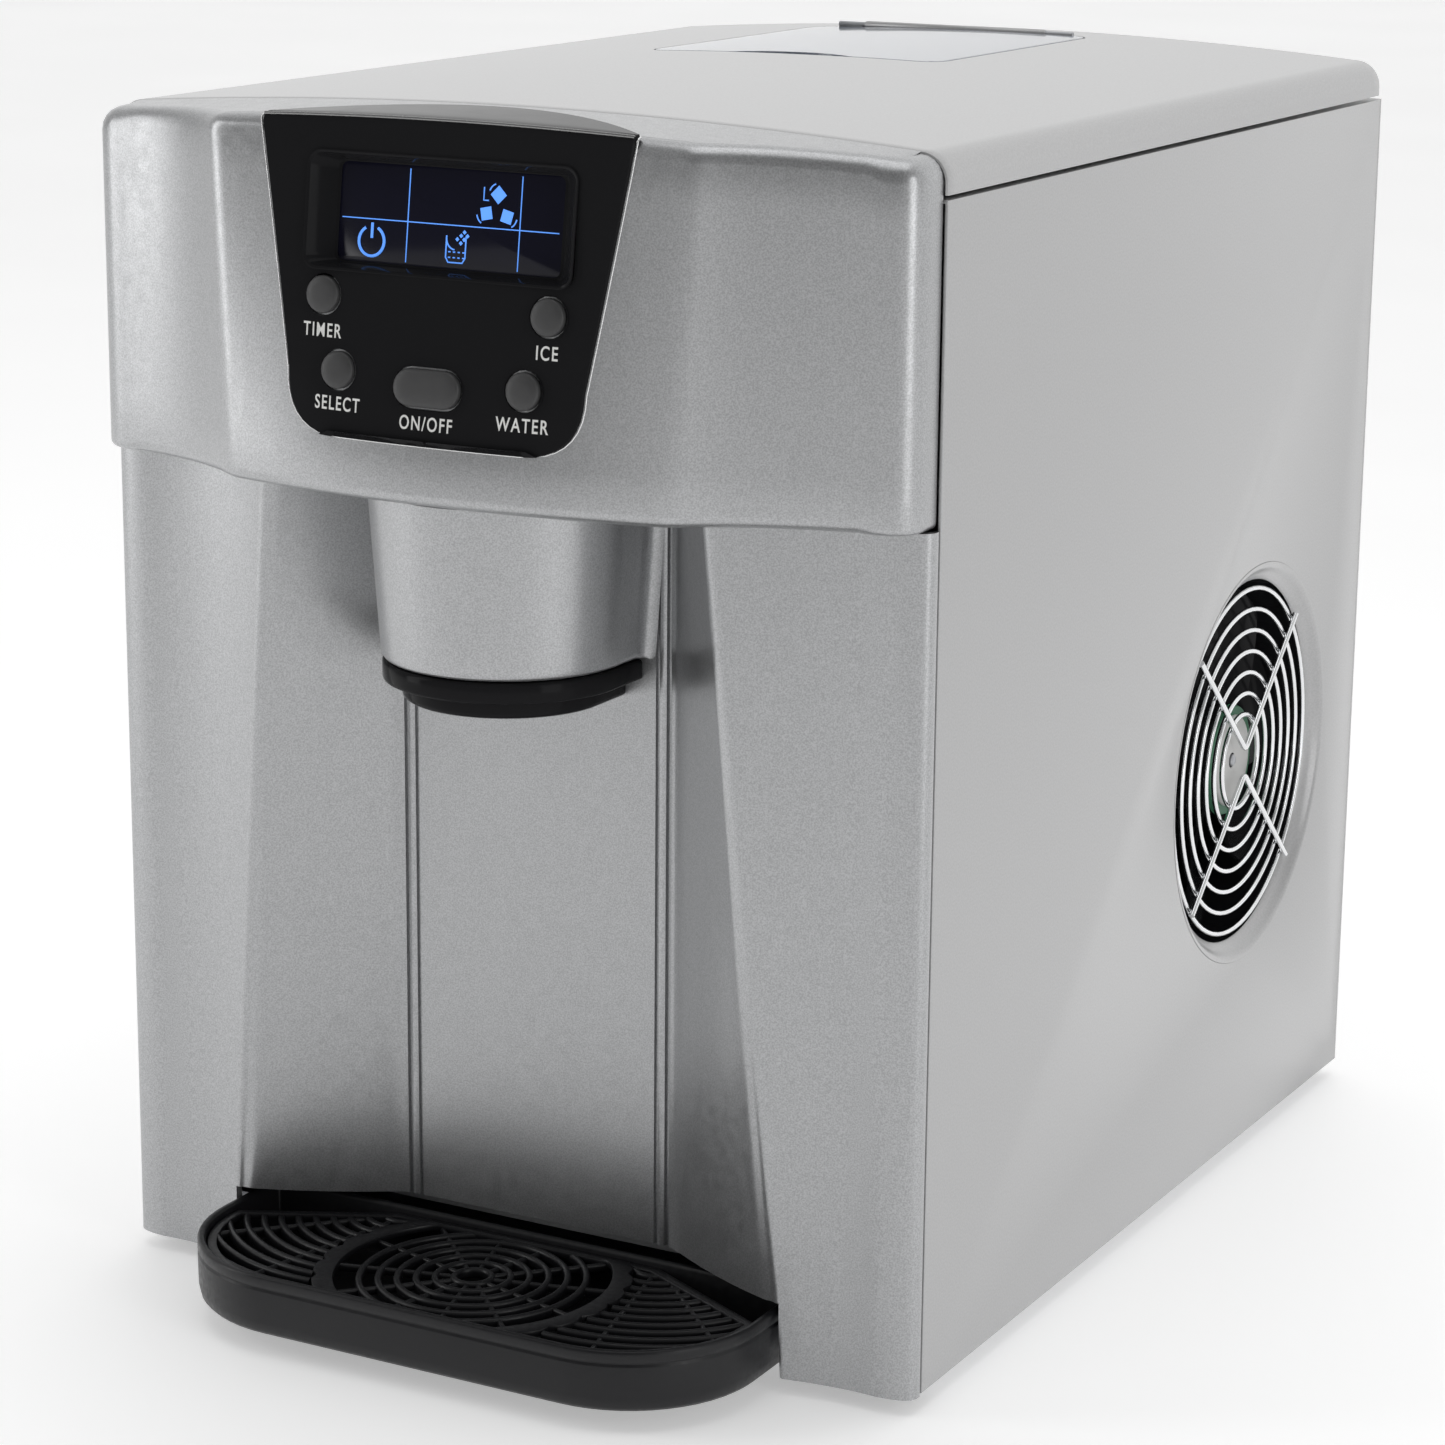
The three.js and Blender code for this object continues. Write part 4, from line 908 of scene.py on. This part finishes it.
def ribs(name, lines, half_width, top, tall):
    """Round-topped bars along flat lines of (x, y)."""
    flat_lines = [[(x / 1000, (FRONT + y) / 1000, 0) for x, y in line] for line in lines]
    obj = poly_curve(name, flat_lines, "2D")
    obj.data.extrude = (tall / 2 - half_width * 0.6) / 1000
    obj.data.bevel_depth = half_width / 1000
    obj.data.bevel_resolution = 2
    obj.data.fill_mode = "NONE"
    piece = as_mesh(obj)
    high = max(v.co.z for v in piece.data.vertices)
    for vertex in piece.data.vertices:
        vertex.co.z += top / 1000 - high
    return place(piece, "satin_black", "drip_grate", angle=60)


def runs(points, keep):
    """Splits a line of points into the stretches where keep(x, y) is true."""
    made, current = [], []
    for x, y in points:
        if keep(x, y):
            current.append((x, y))
            continue
        if len(current) > 2:
            made.append(current)
        current = []
    if len(current) > 2:
        made.append(current)
    return made


def grate_ribs():
    """Arcs round the bay's two rear corners, and circles under the spout."""
    lines = []
    for side in (-1, 1):
        keep = lambda x, y: in_grate(x, y, 2.0) and math.hypot(x, y - SEAT_Y) > 55 and side * x > 1.5
        for i in range(18):
            lines += runs(arc(side * BAY_HALF, TRAY_BACK, 9 + 6.2 * i, 180, 360, 90), keep)
    for i in range(1, 7):
        lines += runs(arc(0, SEAT_Y, 6.6 * i, 0, 360, 60), lambda x, y: y > TRAY_FRONT + 6)
    return lines


def grate_spokes():
    """Straight bars out from the seat's middle and from the two rear corners."""
    lines = []
    for i in range(12):
        turn = math.radians(15 + 30 * i)
        spoke = [(r * math.cos(turn), SEAT_Y + r * math.sin(turn)) for r in range(6, 50)]
        lines += runs(spoke, lambda x, y: in_grate(x, y, 2.0))
    for side in (-1, 1):
        for heading in (-78, -45, -12):
            turn = math.radians(heading if side > 0 else 180 - heading)
            across, back = math.cos(turn), math.sin(turn)
            spoke = [(side * BAY_HALF + r * across, TRAY_BACK + r * back) for r in range(4, 130, 3)]
            lines += runs(spoke, lambda x, y: in_grate(x, y, 2.0) and math.hypot(x, y - SEAT_Y) > 54)
    return lines


def make_grate():
    frame_ring = sheet("grate_frame", grate_outline(0), [grate_outline(3.4)],
                       lambda u, v, w: at(u, v, GRATE_TOP - 1.2 + w), 2.4, 0.4)
    place(frame_ring, "satin_black", "drip_grate", ("drip_grate",), 40)
    ribs("grate_arc_ribs", grate_ribs(), 1.25, GRATE_TOP - 0.2, 3.0)
    outer = []
    for i in range(96):
        turn = 2 * math.pi * i / 96
        radius = 56.0 if i % 4 else 54.2
        x, y = radius * math.cos(turn), SEAT_Y + radius * math.sin(turn)
        outer.append((x, max(min(y, GRATE_REAR - 0.2), TRAY_FRONT + 3.7)))
    circle = arc(0, SEAT_Y, 48.6, 0, 360, 72)[:-1]
    inner = [(x, min(max(y, TRAY_FRONT + 7.0), GRATE_REAR - 3.2)) for x, y in circle]
    seat = sheet("grate_seat_ring", outer, [inner], lambda u, v, w: at(u, v, GRATE_TOP - 0.9 + w), 2.4, 0.5)
    place(seat, "satin_black", "drip_grate", angle=40)
    ribs("grate_spokes", grate_spokes(), 1.0, GRATE_TOP - 0.9, 2.2)


# ---- top cover and lid ----

LID_X = -18.0
LID_HALF = 62.0
LID_FRONT = 240.0
LID_BACK = 384.0
SKIRT_Z = 409.5
LID_THICK = 2.6


def crown_z(x):
    """Height of the cover's crowned top."""
    return COVER_EDGE_Z + CROWN * (1 - (x / (HALF - EDGE_RADIUS)) ** 2)


def cover_section(inset):
    """The crowned cross-section from the right skirt over to the left one, inset evenly."""
    flat, low = HALF - EDGE_RADIUS, COVER_EDGE_Z - EDGE_RADIUS
    half = [(HALF - inset, SKIRT_Z), (HALF - inset, low)]
    half += arc(flat, low, EDGE_RADIUS - inset, 0, 90, 9)[1:-1]
    half += [(x, crown_z(x) - inset) for x in [flat * (1 - i / 30) for i in range(31)]]
    return half + [(-x, z) for x, z in half[-2::-1]]


def lid_line(grow):
    """The lid's outline in plan, grown all round."""
    half_y = (LID_BACK - LID_FRONT) / 2 + grow
    middle = (LID_BACK + LID_FRONT) / 2
    return [(LID_X + u, middle + v) for u, v in rounded_rect(LID_HALF + grow, half_y, 9 + grow, 8)]


def make_cover():
    steps = [(SEAM_Y + 0.3, 0.9), (SEAM_Y + 0.6, 0.3), (SEAM_Y + 1.2, 0.0)]
    steps += [(14 + i * 6.1, 0.0) for i in range(64)]
    steps += [(DEPTH - 4, 0.0), (DEPTH - 2.2, 0.5), (DEPTH - 0.9, 1.4), (DEPTH - 0.25, 2.6), (DEPTH, 4.0)]
    rows = [[at(x, y, z) for x, z in cover_section(inset)] for y, inset in steps]
    cover = skin("cover_shell", rows)
    back = mesh_object("rear face", rows[-1], [tuple(range(len(rows[-1])))])
    bm = bmesh.new()
    for part in (cover, back):
        bm.from_mesh(part.data)
        bpy.data.objects.remove(part)
    bmesh.ops.remove_doubles(bm, verts=bm.verts, dist=WELD)
    cover = thicken(from_bmesh("cover_shell", bm), 2.6)
    cover = carve(cover, prism("tool", lid_line(0.8), at, 400.0, 440.0))
    corners = [(42, LID_BACK - 2), (42, LID_BACK + 6), (-42, LID_BACK + 6), (-42, LID_BACK - 2)]
    hinge_bay = [(LID_X + u, y) for u, y in corners]
    cover = carve(cover, prism("tool", hinge_bay, at, 400.0, 440.0))
    place(cover, "grey_paint", "cabinet", ("top_cover",), angle=32)


def make_lid():
    across = [LID_X - 66 + 132 * i / 44 for i in range(45)]
    deep = [LID_FRONT - 4 + 152 * i / 48 for i in range(49)]
    rows = [[at(x, y, crown_z(x)) for x in across] for y in deep]
    shell = thicken(skin("lid_sheet", rows), LID_THICK)
    shell = carve(shell, prism("tool", lid_line(0.0), at, 400.0, 440.0), "INTERSECT")
    grip = arc(LID_X, LID_FRONT - 38.5, 47, 0, 360, 96)[:-1]
    shell = carve(shell, prism("tool", grip, at, COVER_EDGE_Z + 3.9, 440.0))
    shell = soften(shell, 0.5, 2, 50)
    place(shell, "clear_plastic", "lid", ("lid",), angle=40)
    profile = [(0.0, -41.0), (1.3, -41.0), (1.7, -40.4), (1.7, 40.4), (1.3, 41.0), (0.0, 41.0)]
    place(lathe("lid_barrel", profile, "x", (LID_X, LID_BACK + 3, 428.6), 24), "grey_paint", "lid")
    # A dark ring just under the lid's edge: painted shade of its seam and the recess wall.
    border = sheet("lid_edge_painted_shade", lid_line(-0.6), [lid_line(-2.8)],
                   lambda u, v, w: at(u, v, crown_z(u) - LID_THICK - 0.6 + w), 0.8, 0.1)
    place(border, PAINTED_LID_SHADE, "lid")
    # A dark crescent under the finger pull: painted shade in the gap beneath the lid's front lip.
    pull = curve_points((-28, 0.8), (0, 20.0), (28, 0.8), 20)
    pull += curve_points((28, 0.8), (0, 15.0), (-28, 0.8), 20)[1:-1]
    pull = [(LID_X + u, LID_FRONT + v) for u, v in pull]
    shade = sheet("lid_pull_painted_shade", pull, [], lambda u, v, w: at(u, v, COVER_EDGE_Z + 3.0 + w), 0.6, 0.1)
    place(shade, PAINTED_LID_SHADE, "lid")
    seal = sheet("lid_seal", lid_line(3.0), [lid_line(-3.6)],
                 lambda u, v, w: at(u, v, COVER_EDGE_Z - 2.4 + w), 3.6, 0.8)
    place(seal, "rubber", "cabinet", ("lid_seal_frame",), 40)


# ---- side panels ----


FAN_OPENING = 78.6


def make_sides():
    """The right sheet round the fan, the rolled lip of its opening and the flange at its top."""
    hole = arc(FAN_Y, FAN_Z, FAN_OPENING, 0, 360, 96)[:-1]
    y0, y1, z0, z1 = SEAM_Y + 0.6, DEPTH - 1.6, 6.5, 408.0
    outer = [(y1, z1), (y0, z1), (y0, z0), (y1, z0)]
    side = sheet("right_panel_sheet", outer, [hole], lambda u, v, w: at(HALF - 0.6 + w, u, v), 1.2, 0.35)
    place(side, "grey_paint", "cabinet", ("right_side_panel",), 30)
    lip = [(FAN_OPENING, 0.0), (77.6, -0.05), (76.6, -0.5), (75.8, -1.3), (75.0, -2.4), (73.4, -3.9),
           (71.6, -4.9), (71.2, -5.6), (72.2, -6.0), (74.0, -5.6), (76.2, -3.0), (FAN_OPENING, -1.0)]
    place(lathe("fan_opening_lip", lip, "x", (HALF, FAN_Y, FAN_Z), 128), "grey_paint", angle=50)
    flange = sheet("right_panel_flange", [(y1, 159.4), (y0, 159.4), (y0, 148.0), (y1, 148.0)], [],
                   lambda u, v, w: at(v, u, 407.4 + w), 1.2, 0.3)
    place(flange, "grey_paint")


def make_vent_shade_sheets():
    """Dark sheets just inside the cooling slots of the left and rear panels: painted shade, so the floor does
    not show through.
    """
    left = sheet("left_vent_painted_shade", [(211, 86), (353, 86), (353, 198), (211, 198)], [],
                 lambda u, v, w: at(3.3 - HALF + w, u, v), 0.6, 0.1)
    place(left, PAINTED_VENT_SHADE)
    rear = sheet("rear_vent_painted_shade", [(-24, 66), (122, 66), (122, 192), (-24, 192)], [],
                 lambda u, v, w: at(u, DEPTH - 3.3 + w, v), 0.6, 0.1)
    place(rear, PAINTED_VENT_SHADE)


# ---- fan ----

GUARD_RINGS = 7
RING_RADIUS = 18.4
RING_STEP = 8.25
GUARD_X = 154.8


def make_fan():
    """The guard: rings of chromed wire, and two bent wires laid over them."""
    guard_rings = []
    for i in range(GUARD_RINGS):
        circle = arc(FAN_Y, FAN_Z, RING_RADIUS + RING_STEP * i, 0, 360, 72)[:-1]
        guard_rings.append([(GUARD_X, y, z) for y, z in circle])
    rings = wire("fan_guard_rings", guard_rings, 1.05, "chrome", "cabinet", True)
    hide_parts("fan_guard")
    legs = []
    for side in (-1, 1):
        reach, tip = 49.5, side * 5.0
        bend = curve_points((FAN_Y - 2.6, FAN_Z + tip + side * 2.4), (FAN_Y, FAN_Z + tip - side * 0.6),
                            (FAN_Y + 2.6, FAN_Z + tip + side * 2.4), 6)
        line = [(FAN_Y - reach, FAN_Z + side * reach), *bend, (FAN_Y + reach, FAN_Z + side * reach)]
        legs.append([(GUARD_X + 2.1, y, z) for y, z in line])
    wire("fan_guard_legs", legs, 1.2, "chrome", "cabinet")


ROTOR_X = 135.5
BLADES = 7


def make_rotor():
    """Seven swept blades round a domed hub."""
    bm = bmesh.new()
    for i in range(BLADES):
        grid = []
        for step in range(11):
            share = step / 10
            radius = 20.0 + 48.0 * share
            sweep = 0.34 * share ** 1.4
            width = 0.7 - 0.02 * share
            line = []
            for k in range(9):
                chord = k / 8 - 0.5
                turn = 2 * math.pi * i / BLADES + sweep + chord * width * (1.12 - 0.1 * share)
                depth = ROTOR_X + 0.5 - chord * (20.0 - 7.0 * share) + 2.2 * (1 - (2 * chord) ** 2)
                r = radius - (2.0 * (2 * chord) ** 2 if step == 10 else 0.0)
                line.append(bm.verts.new(at(depth, FAN_Y + r * math.cos(turn), FAN_Z + r * math.sin(turn))))
            grid.append(line)
        for a, b in zip(grid, grid[1:]):
            for k in range(8):
                bm.faces.new((a[k], a[k + 1], b[k + 1], b[k]))
    blades = thicken(from_bmesh("rotor_blades", bm), 1.6, 0.0)
    place(blades, "gloss_black", "fan_rotor", ("fan_rotor",), 40)
    turned = [
        ("rotor_hub", "gloss_black", 56, [(0.0, 15.6), (19.0, 15.6), (21.0, 15.0), (21.7, 13.8), (21.9, 10.0),
                                          (22.0, 4.0), (22.0, -11.0), (20.6, -12.0), (0.0, -12.0)]),
        ("rotor_label", LABEL_GREY, 48, [(3.0, 15.7), (3.0, 16.1), (17.6, 16.1), (18.0, 15.7)]),
        ("rotor_label_rim", "circuit_board", 56, [(18.0, 15.7), (18.2, 15.9), (21.2, 15.3), (22.0, 13.6)]),
        ("rotor_screw", "steel", 24, [(0.0, 17.4), (1.6, 17.2), (2.3, 16.6), (2.4, 15.7)]),
    ]
    for name, look, count, profile in turned:
        place(lathe(name, profile, "x", (ROTOR_X, FAN_Y, FAN_Z), count), look, "fan_rotor", angle=40)


# ---- the pieces that stay as the frame made them ----


def dress_frame():
    """Gives every CAD node its own slot's finish."""
    for part in frame["record"]["subparts"]:
        node = frame["nodes"][part["node"]]
        node.data.materials.clear()
        node.data.materials.append(LOOK[part["material_slot"]])


def make_compressor_band():
    """The welded seam round the compressor's shell."""
    profile = [(52.0, 61.4), (52.6, 61.8), (52.8, 63.0), (52.6, 64.2), (52.0, 64.6)]
    place(lathe("compressor_seam", profile, "z", (-74.0, 318.0, 14.0), 72), "satin_black")


# ---- floor, light and camera ----


def make_floor():
    reach = 9.0
    corners = [(-reach, -reach, 0), (reach, -reach, 0), (reach, reach, 0), (-reach, reach, 0)]
    floor = mesh_object("floor", corners, [(0, 1, 2, 3)])
    white = material("floor_white", (0.86, 0.86, 0.86), 0.6, Emission_Color=(1, 1, 1, 1),
                     Emission_Strength=0.38)
    vary(white, noise(white, 3.0, 2.0), "Roughness", 0.55, 0.65)
    floor.data.materials.append(white)


def area_light(name, where, aim, size, power, tall=None):
    data = bpy.data.lights.new(name, "AREA")
    data.shape = "RECTANGLE"
    data.size = size
    data.size_y = tall or size
    data.energy = power
    light = linked(name, data)
    light.location = where
    light.rotation_euler = (Vector(aim) - Vector(where)).to_track_quat("-Z", "Y").to_euler()


def make_light():
    """A white backdrop behind, a dim room in front, and soft boxes at the left, right and top."""
    world = bpy.data.worlds.new("studio")
    world.use_nodes = True
    tree = world.node_tree
    back = tree.nodes["Background"]
    heading = tree.nodes.new("ShaderNodeTexCoord")
    split = tree.nodes.new("ShaderNodeSeparateXYZ")
    ramp = tree.nodes.new("ShaderNodeMapRange")
    tree.links.new(heading.outputs["Generated"], split.inputs["Vector"])
    tree.links.new(split.outputs["Y"], ramp.inputs["Value"])
    ramp.inputs["From Min"].default_value = -0.3
    ramp.inputs["From Max"].default_value = 0.6
    ramp.inputs["To Min"].default_value = 0.2
    ramp.inputs["To Max"].default_value = 1.0
    tree.links.new(ramp.outputs["Result"], back.inputs["Strength"])
    back.inputs["Color"].default_value = (1.0, 1.0, 1.0, 1)
    bpy.context.scene.world = world
    bpy.context.scene.view_settings.view_transform = "Standard"
    area_light("key_left", (-2.0, -1.2, 1.0), (0, 0, 0.25), 0.7, 12, 2.0)
    area_light("fill_right", (2.2, -0.9, 0.7), (0, 0, 0.25), 0.8, 10, 1.8)
    area_light("top", (0.1, -0.2, 2.3), (0, 0, 0.3), 1.6, 9)


CAMERA_PLACE = at(698.7, -1128.8, 558.1)
CAMERA_YAW = math.radians(28.49)
CAMERA_PITCH = math.radians(14.24)
CAMERA_ROLL = math.radians(0.51)
CAMERA_LENS = 100.1


def make_camera():
    yaw, pitch, roll = CAMERA_YAW, CAMERA_PITCH, CAMERA_ROLL
    forward = Vector((-math.sin(yaw) * math.cos(pitch), math.cos(yaw) * math.cos(pitch), -math.sin(pitch)))
    right = Vector((math.cos(yaw), math.sin(yaw), 0))
    up = right.cross(forward)
    turned_right = right * math.cos(roll) + up * math.sin(roll)
    turned_up = up * math.cos(roll) - right * math.sin(roll)
    data = bpy.data.cameras.new("camera")
    data.sensor_width = 36
    data.lens = CAMERA_LENS
    data.clip_start = 0.02
    camera = linked("camera", data)
    turn = Matrix((turned_right, turned_up, -forward)).transposed()
    camera.matrix_world = Matrix.LocRotScale(CAMERA_PLACE, turn.to_quaternion(), None)
    bpy.context.scene.camera = camera


make_camera()
dress_frame()
make_head()
make_panel()
make_display()
make_icons()
make_buttons()
make_lower_front()
make_nozzle()
make_tray()
make_grate()
make_cover()
make_lid()
make_sides()
make_vent_shade_sheets()
make_fan()
make_rotor()
make_compressor_band()
make_floor()
make_light()
